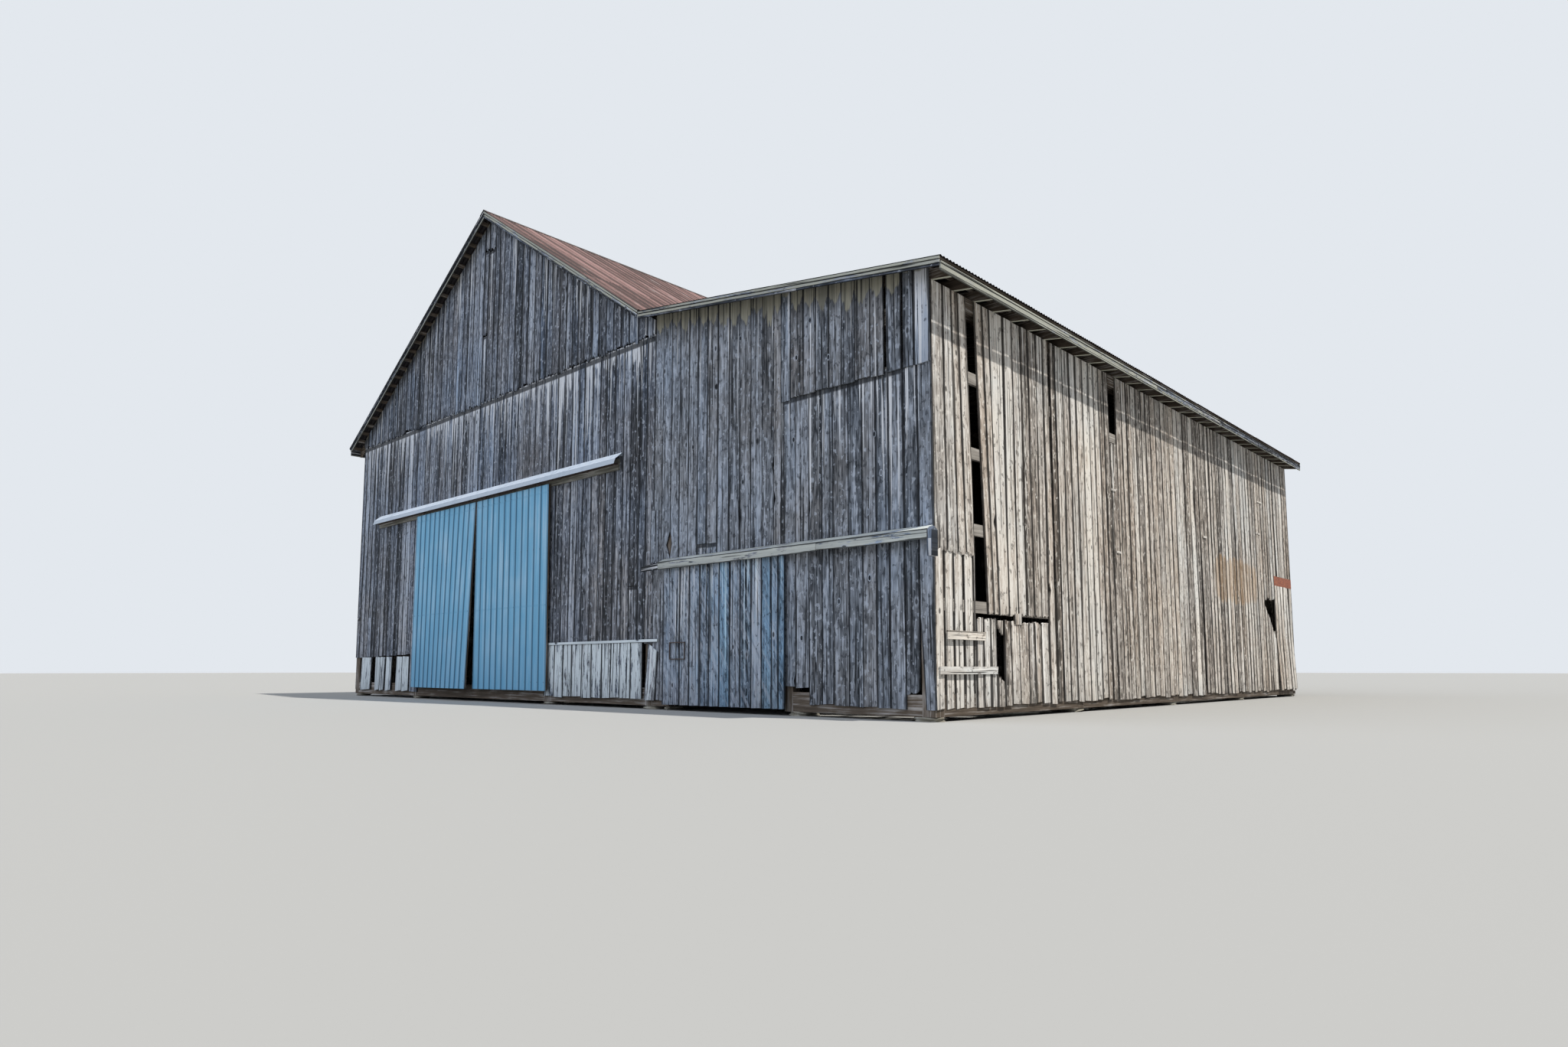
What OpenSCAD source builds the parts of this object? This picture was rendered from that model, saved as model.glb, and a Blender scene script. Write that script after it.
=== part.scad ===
// Weathered timber barn: a gabled main block with a lean-to on its right side.
// A pair of ribbed steel leaves and one boarded leaf slide along the front wall.
// Lengths are in millimetres. X runs to the right, Y to the back and Z up.
// Places are measured from the front left corner of the walls, at the lowest ground.

/* [Main block] */
// Width of the gabled main block over its boards
main_w = 12200; // [11900:10:13500]
// Depth of the barn over its boards
barn_d = 15930; // [12000:10:20000]
// Slope of the main roof's right side in degrees
main_pitch = 34.3; // [30:0.1:38]
// Distance of the ridge from the main block's middle, towards the lean-to
ridge_shift = 350; // [0:10:400]
// Drop of the left slope's edge at its wall below the right slope's
left_drop = 60; // [0:5:60]
// Drop of the seam, where the gable boards lap over the wall boards, below the roof's edge
seam_drop = 370; // [370:10:600]

/* [Lean-to] */
// Width of the lean-to over its boards
lean_w = 5670; // [5500:10:7000]
// Height of the lean-to roof's top over the right wall's face
lean_roof_h = 5965; // [5850:5:6050]
// Distance of the valley between the roofs from the lean-to's side of the main block
valley_in = 190; // [150:5:240]
// Slope of the lean-to roof in degrees
lean_pitch = 8.9; // [8.3:0.1:9.5]
// Height of the seam under the upper boards at the right front corner
tier_h = 4640; // [4300:10:5000]
// Width of those upper boards, from the right front corner
tier_w = 2680; // [2000:10:2900]

/* [Roof] */
// Reach of the roof over the left wall
main_over = 350; // [200:10:500]
// Reach of the roof over the right wall
lean_over = 360; // [200:10:500]
// Reach of the roof over the front wall
front_over = 280; // [280:10:450]
// Reach of the roof over the back wall
rear_over = 120; // [100:10:300]
// Depth of the corrugated sheets
sheet_t = 20; // [12:1:30]
// Thickness of the roof lath
lath_t = 25; // [19:1:32]
// Width of the roof lath
lath_w = 75; // [50:5:125]
// Spacing of the roof lath down the slope
lath_step = 305; // [250:5:600]
// Thickness of the rafters
rafter_t = 50; // [38:1:60]
// Depth of the main rafters
rafter_d = 150; // [120:5:180]
// Depth of the lean-to rafters
lean_rafter_d = 140; // [120:5:160]
// Spacing wanted for the rafters
rafter_step = 510; // [400:10:800]
// Thickness of the ridge board
ridge_t = 30; // [20:1:50]
// Depth of the ridge board
ridge_d = 220; // [200:5:300]
// Reach of the ridge cap down each slope
cap_w = 180; // [120:10:300]
// Thickness of the ridge cap
cap_t = 3; // [2:1:6]
// Thickness of the rake and eave boards
trim_t = 25; // [18:1:32]
// Depth of the rake and eave boards
trim_h = 130; // [100:5:160]
// Gap between the ends of two rake boards
butt_gap = 4; // [1:1:10]
// Reach of the sheets past the rake and eave boards
drip = 15; // [5:1:30]
// Drop of the eave boards below the rafters' top edge
fascia_drop = 40; // [20:5:60]

/* [Frame] */
// Thickness of the wall boards
board_t = 25; // [19:1:32]
// Height of the wall boards' lower ends above the lowest ground
board_low = 150; // [80:10:300]
// Side of the square posts
post = 200; // [150:5:200]
// Width of a flat stone under a post
pier_w = 420; // [300:10:500]
// Height of a flat stone under a post
pier_h = 60; // [40:5:120]
// Number of cross frames from front to back
bents = 5; // [4:1:6]
// Place of the left row of aisle posts
aisle_left = 3350; // [3200:10:3600]
// Place of the right row of aisle posts
aisle_right = 8900; // [8700:10:9000]
// Depth of the sill beams
sill_h = 280; // [200:10:300]
// Depth of the tie beams
tie_d = 240; // [180:10:300]
// Drop of the main tie beams below the wall plates
tie_drop = 376; // [330:2:600]
// Drop of the lean-to tie beams below their plate
lean_tie_drop = 28; // [10:1:150]
// Depth of the wall plates and purlins
plate_d = 200; // [150:5:220]
// Thickness of the girts
girt_t = 50; // [38:1:75]
// Depth of the girts
girt_d = 160; // [120:5:200]
// Height of the lowest girt
girt_h = 1500; // [1300:10:1600]
// Spacing of the girts
girt_step = 1056; // [1000:1:1080]
// Reach of a knee brace along the post and along the beam
brace_leg = 900; // [600:10:1100]
// Side of a knee brace
brace_t = 100; // [75:5:125]
// Depth of the boards' nailing over the beam at a seam
lap = 70; // [40:5:90]

/* [Steel doors] */
// Left edge of the left leaf
pair_x = 3430; // [3400:10:3500]
// Width of one leaf
leaf_w = 2790; // [2750:10:2800]
// Gap between the two leaves at their heads
leaf_gap = 50; // [20:5:90]
// Height of the leaves' lower edge
leaf_low = 260; // [200:10:300]
// Height of the leaves' upper edge
leaf_top = 4250; // [4230:1:4255]
// Thickness of the leaves' timber frame
leaf_frame_t = 38; // [30:1:38]
// Width of the frame's rails and stiles
rail_w = 140; // [100:5:180]
// Thickness of the ribbed sheet
skin_t = 3; // [2:1:4]
// Spacing of the ribs
rib_step = 228.6; // [180:0.1:300]
// Height of the ribs
rib_h = 18; // [10:1:22]
// How far the left leaf's left foot has swung out
kick_left = 0; // [0:5:60]
// How far the left leaf's right foot has swung out
kick_right = 125; // [60:5:150]
// How far the right leaf's foot has racked to the right
rack = 60; // [0:5:90]
// Height of the opening behind the steel leaves
doorway_h = 4200; // [4100:10:4200]
// Height of the rail's top
rail_top = 4335; // [4335:1:4340]
// Height of the hood's upper edge on the wall
hood_h = 4530; // [4525:1:4560]
// Reach of the hood from the wall
hood_out = 185; // [160:5:200]
// Left end of the hood
hood_x = 1140; // [1000:10:1150]
// Length of the hood
hood_w = 10130; // [10100:10:10300]

/* [Stable door] */
// Distance of the boarded leaf from the main block
stable_in = 355; // [350:5:400]
// Width of the boarded leaf
stable_w = 2772; // [2750:1:2780]
// Height of the boarded leaf's lower edge
stable_low = 90; // [70:5:150]
// Height of the boarded leaf's upper edge
stable_top = 2330; // [2325:1:2340]
// Thickness of the leaf's boards and ledges
stable_t = 25; // [20:1:28]
// Depth of the leaf's ledges
ledge_d = 150; // [100:5:180]
// Lap of the leaf past its doorway at each side
stable_lap = 75; // [40:5:100]
// Height of the opening behind the boarded leaf
stable_door_h = 2250; // [2200:10:2270]
// Height of the boarded leaf's rail
stable_rail_top = 2390; // [2390:1:2400]
// Reach of the boarded track cover from the wall
cover_out = 150; // [140:5:180]
// Lower edge of the track cover
cover_low = 2310; // [2300:1:2320]
// Thickness of the cover's boards
cover_t = 18; // [12:1:25]
// Thickness of the door studs
stud_t = 150; // [100:5:150]

/* [Hidden] */

old_wood = "#8a8178";
front_wood = "#6f7480";
dark_wood = "#5a5048";
steel_blue = "#6f9fc0";
rust = "#8f5e4c";
pale_trim = "#aab0a6";
white_paint = "#c9ccc6";
iron = "#4a4542";
stone = "#8d8a80";

total_w = main_w + lean_w;
ridge_x = main_w / 2 + ridge_shift;
main_tan = tan(main_pitch);
main_cos = cos(main_pitch);
lean_tan = tan(lean_pitch);
lean_cos = cos(lean_pitch);

// Clearance where one sloping piece lies on another
seat_gap = 0.3;

// Depths of the layers' tops below the roof's top, square to the slope
under_sheet = sheet_t + seat_gap;
under_lath = under_sheet + lath_t + seat_gap;
under_rafter = under_lath + rafter_d;
under_lean_rafter = under_lath + lean_rafter_d;

// Heights of the main roof's two slopes and of the lean-to roof, at a depth below their tops
function left_z(x, depth = 0) = left_roof_h + x * left_tan - depth / left_cos;
function right_z(x, depth = 0) = main_roof_h + (main_w - x) * main_tan - depth / main_cos;
function lean_z(x, depth = 0) = lean_roof_h + (total_w - x) * lean_tan - depth / lean_cos;

// The lean-to sheets slip under the main sheets in the valley, which sets the main roof's height
valley_x = main_w - valley_in;
main_roof_h = lean_z(main_w) + sheet_t / main_cos - valley_in * (main_tan - lean_tan);
seam_h = main_roof_h - seam_drop;

// The left slope runs from its own height at the wall up to the same ridge
left_roof_h = main_roof_h - left_drop;
left_tan = (main_roof_h + (main_w - ridge_x) * main_tan - left_roof_h) / ridge_x;
left_cos = cos(atan(left_tan));

// Depths of the seats cut in the rafters over the low plates and the purlins
plate_seat = 20;
left_seat = 100;
purlin_seat = 30;
plate_top = lean_z(main_w, under_lean_rafter);
left_plate_top = left_z(board_t, under_rafter) + left_seat;
lean_plate_top = lean_z(total_w, under_lean_rafter) + plate_seat;
left_purlin_top = left_z(aisle_left, under_rafter) + purlin_seat;
right_purlin_top = right_z(aisle_right + post, under_rafter) + purlin_seat;
tie_h = plate_top - plate_d - tie_drop - tie_d;
lean_tie_h = lean_plate_top - plate_d - lean_tie_drop - tie_d;

roof_y0 = -front_over;
roof_y1 = barn_d + rear_over;
lath_y0 = roof_y0 + drip + trim_t;
lath_y1 = roof_y1 - drip - trim_t;

left_post_x = board_t;
wall_row_x = main_w - post;
lean_post_x = total_w - board_t - post;
bent_step = (barn_d - 2 * board_t - post) / (bents - 1);
function bent_y(i) = board_t + i * bent_step;

rafter_last = barn_d - board_t - 2 * rafter_t;
rafter_gaps = round(rafter_last / rafter_step);
function rafter_y(i) = i * rafter_last / rafter_gaps;

sill_top = pier_h + sill_h;
right_pair_x = pair_x + leaf_w + leaf_gap;
doorway_x0 = aisle_left + post;
doorway_x1 = aisle_right;
stable_x = main_w + stable_in;
stable_x0 = stable_x + stable_lap;
stable_x1 = stable_x + stable_w - stable_lap;
tier_x = total_w - tier_w;

// Distances of the steel leaves' layers from the wall
leaf_back = 61;
rail_t = 8;
rail_d = 35;
rail_out = 76;
wheel_r = 25;
wheel_w = 20;
run_gap = 0.3;
hanger_t = 6;
hanger_w = 120;
axle_r = 6;
hanger_inset = 350;
track_board_t = 40;
track_board_d = 200;
track_board_top = rail_top + 85;
plate_gap = 8;
spacer_w = 60;
spacer_h = 20;
spacer_z = rail_top - rail_d + 5;

// Distances of the boarded leaf's layers from the wall
stable_back = 25;
stable_rail_out = 52;
stable_rail_d = 30;
stable_spacer_h = 20;
stable_wheel_r = 20;

module extrude_y(y0, y1) {
    translate([0, y1, 0]) rotate([90, 0, 0]) linear_extrude(y1 - y0) children();
}

module extrude_x(x0, x1) {
    translate([x0, 0, 0]) rotate([90, 0, 90]) linear_extrude(x1 - x0) children();
}

module block(x0, x1, y0, y1, z0, z1) {
    translate([x0, y0, z0]) cube([x1 - x0, y1 - y0, z1 - z0]);
}

// One layer of each slope between two depths
module left_layer(x0, x1, depth0, depth1, y0, y1) {
    extrude_y(y0, y1) polygon([
        [x0, left_z(x0, depth0)], [x1, left_z(x1, depth0)],
        [x1, left_z(x1, depth1)], [x0, left_z(x0, depth1)]
    ]);
}

module right_layer(x0, x1, depth0, depth1, y0, y1) {
    extrude_y(y0, y1) polygon([
        [x0, right_z(x0, depth0)], [x1, right_z(x1, depth0)],
        [x1, right_z(x1, depth1)], [x0, right_z(x0, depth1)]
    ]);
}

module lean_layer(x0, x1, depth0, depth1, y0, y1) {
    extrude_y(y0, y1) polygon([
        [x0, lean_z(x0, depth0)], [x1, lean_z(x1, depth0)],
        [x1, lean_z(x1, depth1)], [x0, lean_z(x0, depth1)]
    ]);
}

// Places the barn so that the middle of its whole footprint is the origin
module place() {
    translate([(main_over - total_w - lean_over) / 2, (front_over - barn_d - rear_over) / 2, 0])
        children();
}

// Stones, sills and posts

post_rows = [left_post_x, aisle_left, aisle_right, wall_row_x, lean_post_x];

module pier(x, y, w = post, d = post) {
    block(x + w / 2 - pier_w / 2, x + w / 2 + pier_w / 2,
          max(y + d / 2 - pier_w / 2, 0), min(y + d / 2 + pier_w / 2, barn_d), 0, pier_h);
}

module stone_piers() {
    color(stone) place() {
        for (i = [0 : bents - 1], x = [aisle_left, aisle_right, wall_row_x]) pier(x, bent_y(i));
        for (i = [0 : bents - 1]) {
            translate([(pier_w - post) / 2 - board_t, 0, 0]) pier(left_post_x, bent_y(i));
            translate([board_t - (pier_w - post) / 2, 0, 0]) pier(lean_post_x, bent_y(i));
        }
        block(stable_x0 - stud_t, stable_x0, 0, pier_w, 0, pier_h);
        block(stable_x1, stable_x1 + pier_w, 0, pier_w, 0, pier_h);
    }
}

module sill_beams() {
    color(dark_wood) place() {
        for (i = [0 : bents - 2], x = [left_post_x, lean_post_x])
            block(x, x + post, bent_y(i) + post, bent_y(i + 1), pier_h, sill_top);
        for (y = [bent_y(0), bent_y(bents - 1)]) {
            block(left_post_x + post, aisle_left, y, y + post, pier_h, sill_top);
            block(aisle_left + post, aisle_right, y, y + post, pier_h, sill_top);
            block(aisle_right + post, wall_row_x, y, y + post, pier_h, sill_top);
        }
        block(wall_row_x + post, stable_x0 - stud_t, bent_y(0), bent_y(0) + post, pier_h, sill_top);
        block(stable_x1 + stud_t, lean_post_x, bent_y(0), bent_y(0) + post, pier_h, sill_top);
        block(wall_row_x + post, lean_post_x, bent_y(bents - 1), bent_y(bents - 1) + post,
              pier_h, sill_top);
    }
}

module wall_posts() {
    color(dark_wood) place() {
        for (i = [0 : bents - 1]) {
            block(left_post_x, left_post_x + post, bent_y(i), bent_y(i) + post,
                  pier_h, left_plate_top - plate_d);
            block(wall_row_x, wall_row_x + post, bent_y(i), bent_y(i) + post,
                  pier_h, plate_top - plate_d);
            block(lean_post_x, lean_post_x + post, bent_y(i), bent_y(i) + post,
                  pier_h, lean_plate_top - plate_d);
        }
        for (x = [stable_x0 - stud_t, stable_x1])
            block(x, x + stud_t, board_t, board_t + stud_t, pier_h, lean_tie_h);
    }
}

module aisle_posts() {
    color(dark_wood) place()
        for (i = [0 : bents - 1], row = [[aisle_left, left_purlin_top], [aisle_right, right_purlin_top]])
            block(row[0], row[0] + post, bent_y(i), bent_y(i) + post, pier_h, row[1] - plate_d);
}

// Beams

module tie_beams() {
    color(dark_wood) place()
        for (i = [0 : bents - 1]) {
            y = bent_y(i);
            block(left_post_x + post, aisle_left, y, y + post, tie_h, tie_h + tie_d);
            block(aisle_left + post, aisle_right, y, y + post, tie_h, tie_h + tie_d);
            block(aisle_right + post, wall_row_x, y, y + post, tie_h, tie_h + tie_d);
            block(wall_row_x + post, lean_post_x, y, y + post, lean_tie_h, lean_tie_h + tie_d);
        }
}

module door_headers() {
    color(dark_wood) place() {
        block(doorway_x0, doorway_x1, board_t, board_t + post, doorway_h, doorway_h + tie_d);
        block(stable_x0, stable_x1, board_t, board_t + stud_t, stable_door_h, stable_door_h + girt_d);
    }
}

// Wall plates and purlins, also used to cut the rafters' seats
module roof_plates_raw() {
    for (row = [[left_post_x, left_plate_top], [aisle_left, left_purlin_top],
                [aisle_right, right_purlin_top], [wall_row_x, plate_top],
                [lean_post_x, lean_plate_top]])
        block(row[0], row[0] + post, board_t, barn_d - board_t, row[1] - plate_d, row[1]);
}

module roof_plates() {
    color(dark_wood) place() roof_plates_raw();
}

// One brace under a beam, from a post's face at x, towards +X or -X
module knee_brace(x, z, y, side) {
    cut = brace_t * sqrt(2);
    extrude_y(y + post / 2 - brace_t / 2, y + post / 2 + brace_t / 2) polygon([
        [x, z - brace_leg], [x + side * brace_leg, z],
        [x + side * (brace_leg - cut), z], [x, z - brace_leg + cut]
    ]);
}

module knee_braces() {
    color(dark_wood) place()
        for (i = [0 : bents - 1]) {
            knee_brace(left_post_x + post, tie_h, bent_y(i), 1);
            knee_brace(aisle_left + post, tie_h, bent_y(i), 1);
            knee_brace(aisle_right, tie_h, bent_y(i), -1);
            knee_brace(wall_row_x, tie_h, bent_y(i), -1);
            knee_brace(lean_post_x, lean_tie_h, bent_y(i), -1);
        }
}

// Girts that the boards are nailed to

function girt_low(k) = girt_h + k * girt_step - girt_d / 2;
gable_girts = [seam_h + 990, seam_h + 2490];

module girt_x(x0, x1, y, z) {
    block(x0, x1, y, y + girt_t, z, z + girt_d);
}

// A gable girt ends where the rafters' underside comes down to its top
module gable_girt(y, z) {
    x0 = (z + girt_d - left_z(0, under_rafter)) / left_tan;
    x1 = main_w - (z + girt_d - right_z(main_w, under_rafter)) / main_tan;
    purlin_low = min(left_purlin_top, right_purlin_top) - plate_d;
    if (z + girt_d < purlin_low) {
        girt_x(x0, aisle_left, y, z);
        girt_x(aisle_left + post, aisle_right, y, z);
        girt_x(aisle_right + post, x1, y, z);
    } else {
        girt_x(max(x0, aisle_left + post), min(x1, aisle_right), y, z);
    }
}

module wall_girts() {
    back_y = barn_d - board_t - girt_t;
    color(dark_wood) place() {
        for (k = [0 : 3]) {
            z = girt_low(k);
            for (i = [0 : bents - 2]) {
                block(left_post_x, left_post_x + girt_t, bent_y(i) + post, bent_y(i + 1),
                      z, z + girt_d);
                block(lean_post_x + post - girt_t, lean_post_x + post, bent_y(i) + post,
                      bent_y(i + 1), z, z + girt_d);
            }
            girt_x(left_post_x + post, aisle_left, board_t, z);
            girt_x(aisle_right + post, wall_row_x, board_t, z);
            girt_x(stable_x1 + stud_t, lean_post_x, board_t, z);
            for (x = [[left_post_x + post, aisle_left], [aisle_left + post, aisle_right],
                      [aisle_right + post, wall_row_x], [wall_row_x + post, lean_post_x]])
                girt_x(x[0], x[1], back_y, z);
        }
        for (k = [2 : 3]) girt_x(stable_x0, stable_x1, board_t, girt_low(k));
        girt_x(doorway_x0, doorway_x1, board_t, girt_low(3));
        for (z = gable_girts) {
            gable_girt(0, z);
            gable_girt(back_y, z);
        }
    }
}

// Rafters, with seats cut for the plates and purlins

module main_rafters() {
    tail = -main_over + drip + trim_t;
    color(dark_wood) place() difference() {
        for (i = [0 : rafter_gaps]) {
            y = rafter_y(i);
            left_layer(tail, ridge_x - ridge_t / 2, under_lath, under_rafter, y, y + rafter_t);
            right_layer(ridge_x + ridge_t / 2, main_w, under_lath, under_rafter, y, y + rafter_t);
        }
        roof_plates_raw();
    }
}

module lean_to_rafters() {
    tail = total_w + lean_over - drip - trim_t;
    color(dark_wood) place() difference() {
        for (i = [0 : rafter_gaps]) {
            y = rafter_y(i) + rafter_t;
            lean_layer(wall_row_x, tail, under_lath, under_lean_rafter, y, y + rafter_t);
        }
        roof_plates_raw();
    }
}

module ridge_board() {
    top = min(left_z(ridge_x - ridge_t / 2, under_lath), right_z(ridge_x + ridge_t / 2, under_lath));
    color(dark_wood) place()
        block(ridge_x - ridge_t / 2, ridge_x + ridge_t / 2, 0, barn_d - board_t, top - ridge_d, top);
}

lath_run = lath_step * main_cos;
lath_flat = lath_w * main_cos;
left_lath_run = lath_step * left_cos;
left_lath_flat = lath_w * left_cos;
lean_lath_run = lath_step * lean_cos;
left_lath_x0 = -main_over + drip + trim_t;
left_laths = floor((ridge_x - left_lath_flat * 2 - left_lath_x0) / left_lath_run);
right_laths = floor((valley_x - lath_flat * 2 - ridge_x) / lath_run);
lean_lath_x1 = total_w + lean_over - drip - trim_t - lath_w;
lean_laths = floor((lean_lath_x1 - main_w) / lean_lath_run);

module roof_lath() {
    color(dark_wood) place() {
        for (k = [0 : left_laths]) {
            x = left_lath_x0 + k * left_lath_run;
            left_layer(x, x + left_lath_flat, under_sheet, under_sheet + lath_t, lath_y0, lath_y1);
        }
        for (k = [0 : right_laths]) {
            x = valley_x - lath_flat - k * lath_run;
            right_layer(x - lath_flat, x, under_sheet, under_sheet + lath_t, lath_y0, lath_y1);
        }
        for (k = [0 : lean_laths]) {
            x = lean_lath_x1 - k * lean_lath_run;
            lean_layer(x, x + lath_w, under_sheet, under_sheet + lath_t, lath_y0, lath_y1);
        }
    }
}

// Roof covering

module left_roof() {
    color(rust) place() left_layer(-main_over, ridge_x, 0, sheet_t, roof_y0, roof_y1);
}

module right_roof() {
    color(rust) place() right_layer(ridge_x, valley_x, 0, sheet_t, roof_y0, roof_y1);
}

module lean_to_roof() {
    color(rust) place()
        lean_layer(valley_x, total_w + lean_over, 0, sheet_t, roof_y0, roof_y1);
}

module ridge_cap() {
    x0 = ridge_x - cap_w * left_cos;
    x1 = ridge_x + cap_w * main_cos;
    low = -seat_gap;
    top = low - cap_t;
    color(rust) place() extrude_y(roof_y0, roof_y1) polygon([
        [x0, left_z(x0, low)], [ridge_x, right_z(ridge_x, low)], [x1, right_z(x1, low)],
        [x1, right_z(x1, top)], [ridge_x, right_z(ridge_x, top)], [x0, left_z(x0, top)]
    ]);
}

module rake_boards() {
    end_x = total_w + lean_over - drip;
    low = under_sheet + trim_h;
    color(pale_trim) place()
        for (y = [roof_y0 + drip, roof_y1 - drip - trim_t]) {
            left_layer(-main_over + drip, ridge_x - butt_gap / 2, under_sheet, low, y, y + trim_t);
            right_layer(ridge_x + butt_gap / 2, valley_x - butt_gap / 2, under_sheet, low,
                        y, y + trim_t);
            lean_layer(valley_x + butt_gap / 2, end_x, under_sheet, low, y, y + trim_t);
        }
}

module eave_boards() {
    left_x = -main_over + drip;
    right_x = total_w + lean_over - drip - trim_t;
    left_top = left_z(left_x + trim_t, under_lath) - fascia_drop;
    right_top = lean_z(right_x, under_lath) - fascia_drop;
    color(pale_trim) place() {
        block(left_x, left_x + trim_t, lath_y0, lath_y1, left_top - trim_h, left_top);
        block(right_x, right_x + trim_t, lath_y0, lath_y1, right_top - trim_h, right_top);
    }
}

// Front wall

module front_slab(x0, x1, z0, z1) {
    block(x0, x1, 0, board_t, z0, z1);
}

// The wall boards end behind the gable boards, and below the rafters
lap_top = min(seam_h + lap, left_z(0, under_rafter) - seat_gap);

module front_wall_left() {
    color(front_wood) place() front_slab(0, doorway_x0, board_low, lap_top);
}

module front_wall_over_doors() {
    color(front_wood) place() front_slab(doorway_x0, doorway_x1, doorway_h, lap_top);
}

module front_wall_middle() {
    color(front_wood) place() front_slab(doorway_x1, main_w, board_low, lap_top);
}

module front_gable() {
    color(front_wood) place() extrude_y(-board_t, 0) polygon([
        [0, seam_h], [main_w, seam_h], [main_w, roof_cut(main_w)],
        [ridge_x, roof_cut(ridge_x)], [0, roof_cut(0)]
    ]);
}

// Height of the boards' ends under the lath
function roof_cut(x) = min(left_z(x, under_lath), right_z(x, under_lath));

module front_wall_over_stable_door() {
    color(front_wood) place() extrude_y(0, board_t) polygon([
        [main_w, board_low], [stable_x0, board_low], [stable_x0, stable_door_h],
        [tier_x, stable_door_h], [tier_x, lean_z(tier_x, under_lath)],
        [main_w, lean_z(main_w, under_lath)]
    ]);
}

module front_wall_right() {
    color(front_wood) place() extrude_y(0, board_t) polygon([
        [stable_x1, board_low], [total_w, board_low], [total_w, tier_h + lap],
        [tier_x, tier_h + lap], [tier_x, stable_door_h], [stable_x1, stable_door_h]
    ]);
}

module front_wall_upper_right() {
    color(front_wood) place() extrude_y(-board_t, 0) polygon([
        [tier_x, tier_h], [total_w, tier_h],
        [total_w, lean_z(total_w, under_lath)], [tier_x, lean_z(tier_x, under_lath)]
    ]);
}

// Left and back walls

module left_wall() {
    color(old_wood) place()
        block(0, board_t, board_t, barn_d - board_t, board_low, left_z(0, under_rafter));
}

module back_wall() {
    color(old_wood) place() extrude_y(barn_d - board_t, barn_d) polygon([
        [0, board_low], [main_w, board_low], [main_w, roof_cut(main_w)],
        [ridge_x, roof_cut(ridge_x)], [0, roof_cut(0)]
    ]);
}

module back_wall_lean_to() {
    color(old_wood) place() extrude_y(barn_d - board_t, barn_d) polygon([
        [main_w, board_low], [total_w, board_low],
        [total_w, lean_z(total_w, under_lath)], [main_w, lean_z(main_w, under_lath)]
    ]);
}

// Right wall, with the places where boards are missing

gap_y0 = 1000;
gap_y1 = 1300;
gap_top_y0 = 870;
gap_top_y1 = 1090;
gap_bend_z0 = 2600;
gap_bend_z1 = 3600;
slit_z0 = 1340;
slit_z1 = 1435;
slit_y1 = 3100;
patch_y0 = 2020;
patch_y1 = 2240;
split_y0 = 5410;
split_y1 = 5690;
split_z = 4580;
rear_corner_w = 1430;
hole_w = 800;
hole_y1 = barn_d - rear_corner_w;
hole_y0 = hole_y1 - hole_w;
hole_z0 = 1390;
hole_z1 = 2230;
right_top = lean_z(total_w, under_lean_rafter);

module right_slab() {
    extrude_x(total_w - board_t, total_w) children();
}

module right_wall_corner() {
    color(old_wood) place() right_slab() polygon([
        [board_t, board_low], [gap_y0, board_low], [gap_y0, gap_bend_z0],
        [gap_top_y0, right_top], [board_t, right_top]
    ]);
}

module right_wall_low() {
    color(old_wood) place() right_slab() polygon([
        [gap_y0, board_low], [slit_y1, board_low], [slit_y1, slit_z0], [patch_y1, slit_z0],
        [patch_y1, slit_z1], [patch_y0, slit_z1], [patch_y0, slit_z0], [gap_y0, slit_z0]
    ]);
}

module right_wall_middle() {
    color(old_wood) place() right_slab() polygon([
        [gap_y1, slit_z1], [slit_y1, slit_z1], [slit_y1, board_low], [split_y0, board_low],
        [split_y0, right_top], [gap_top_y1, right_top], [gap_top_y1, gap_bend_z1]
    ]);
}

module right_wall_rear() {
    color(old_wood) place() right_slab() polygon([
        [split_y0, board_low], [hole_y1, board_low], [hole_y1, hole_z0], [hole_y0, hole_z1],
        [hole_y1, hole_z1], [hole_y1, right_top], [split_y1, right_top], [split_y1, split_z],
        [split_y0, split_z]
    ]);
}

module right_wall_rear_corner() {
    color(old_wood) place() right_slab() polygon([
        [hole_y1, board_low], [barn_d - board_t, board_low], [barn_d - board_t, right_top],
        [hole_y1, right_top]
    ]);
}

// Boards and metal fixed on the walls

skirt_t = 22;
skirt_cap_t = 40;
skirt_cap_h = 45;

// Left end, right end and top of each skirt
left_skirt = [100, 3110, 980];
right_skirt = [8940, main_w + 170, 1125];

module front_skirts() {
    color(white_paint) place() {
        block(left_skirt[0], left_skirt[1], -skirt_t, 0, board_low, left_skirt[2]);
        block(right_skirt[0], right_skirt[1], -skirt_t, 0, board_low, right_skirt[2]);
        block(right_skirt[0], right_skirt[1], -skirt_cap_t, 0,
              right_skirt[2], right_skirt[2] + skirt_cap_h);
    }
}

batten_t = 22;

// Front end, rear end, lower and upper edge of each batten
battens = [[260, 1190, 1050, 1165], [85, 1490, 600, 700]];

module side_battens() {
    color(old_wood) place()
        for (b = battens) block(total_w, total_w + batten_t, b[0], b[1], b[2], b[3]);
}

flash_z = 2690;
flash_h = 230;
flash_t = 3;

module corner_flashing() {
    color(rust) place() extrude_x(total_w, total_w + flash_t) polygon([
        [hole_y1, flash_z], [barn_d, flash_z], [barn_d, flash_z + flash_h],
        [hole_y1, flash_z + flash_h]
    ]);
}

// Track of the steel leaves

module track_board() {
    color(front_wood) place()
        block(hood_x + spacer_w, hood_x + hood_w - spacer_w, -track_board_t, 0,
              track_board_top - track_board_d, track_board_top);
}

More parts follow.
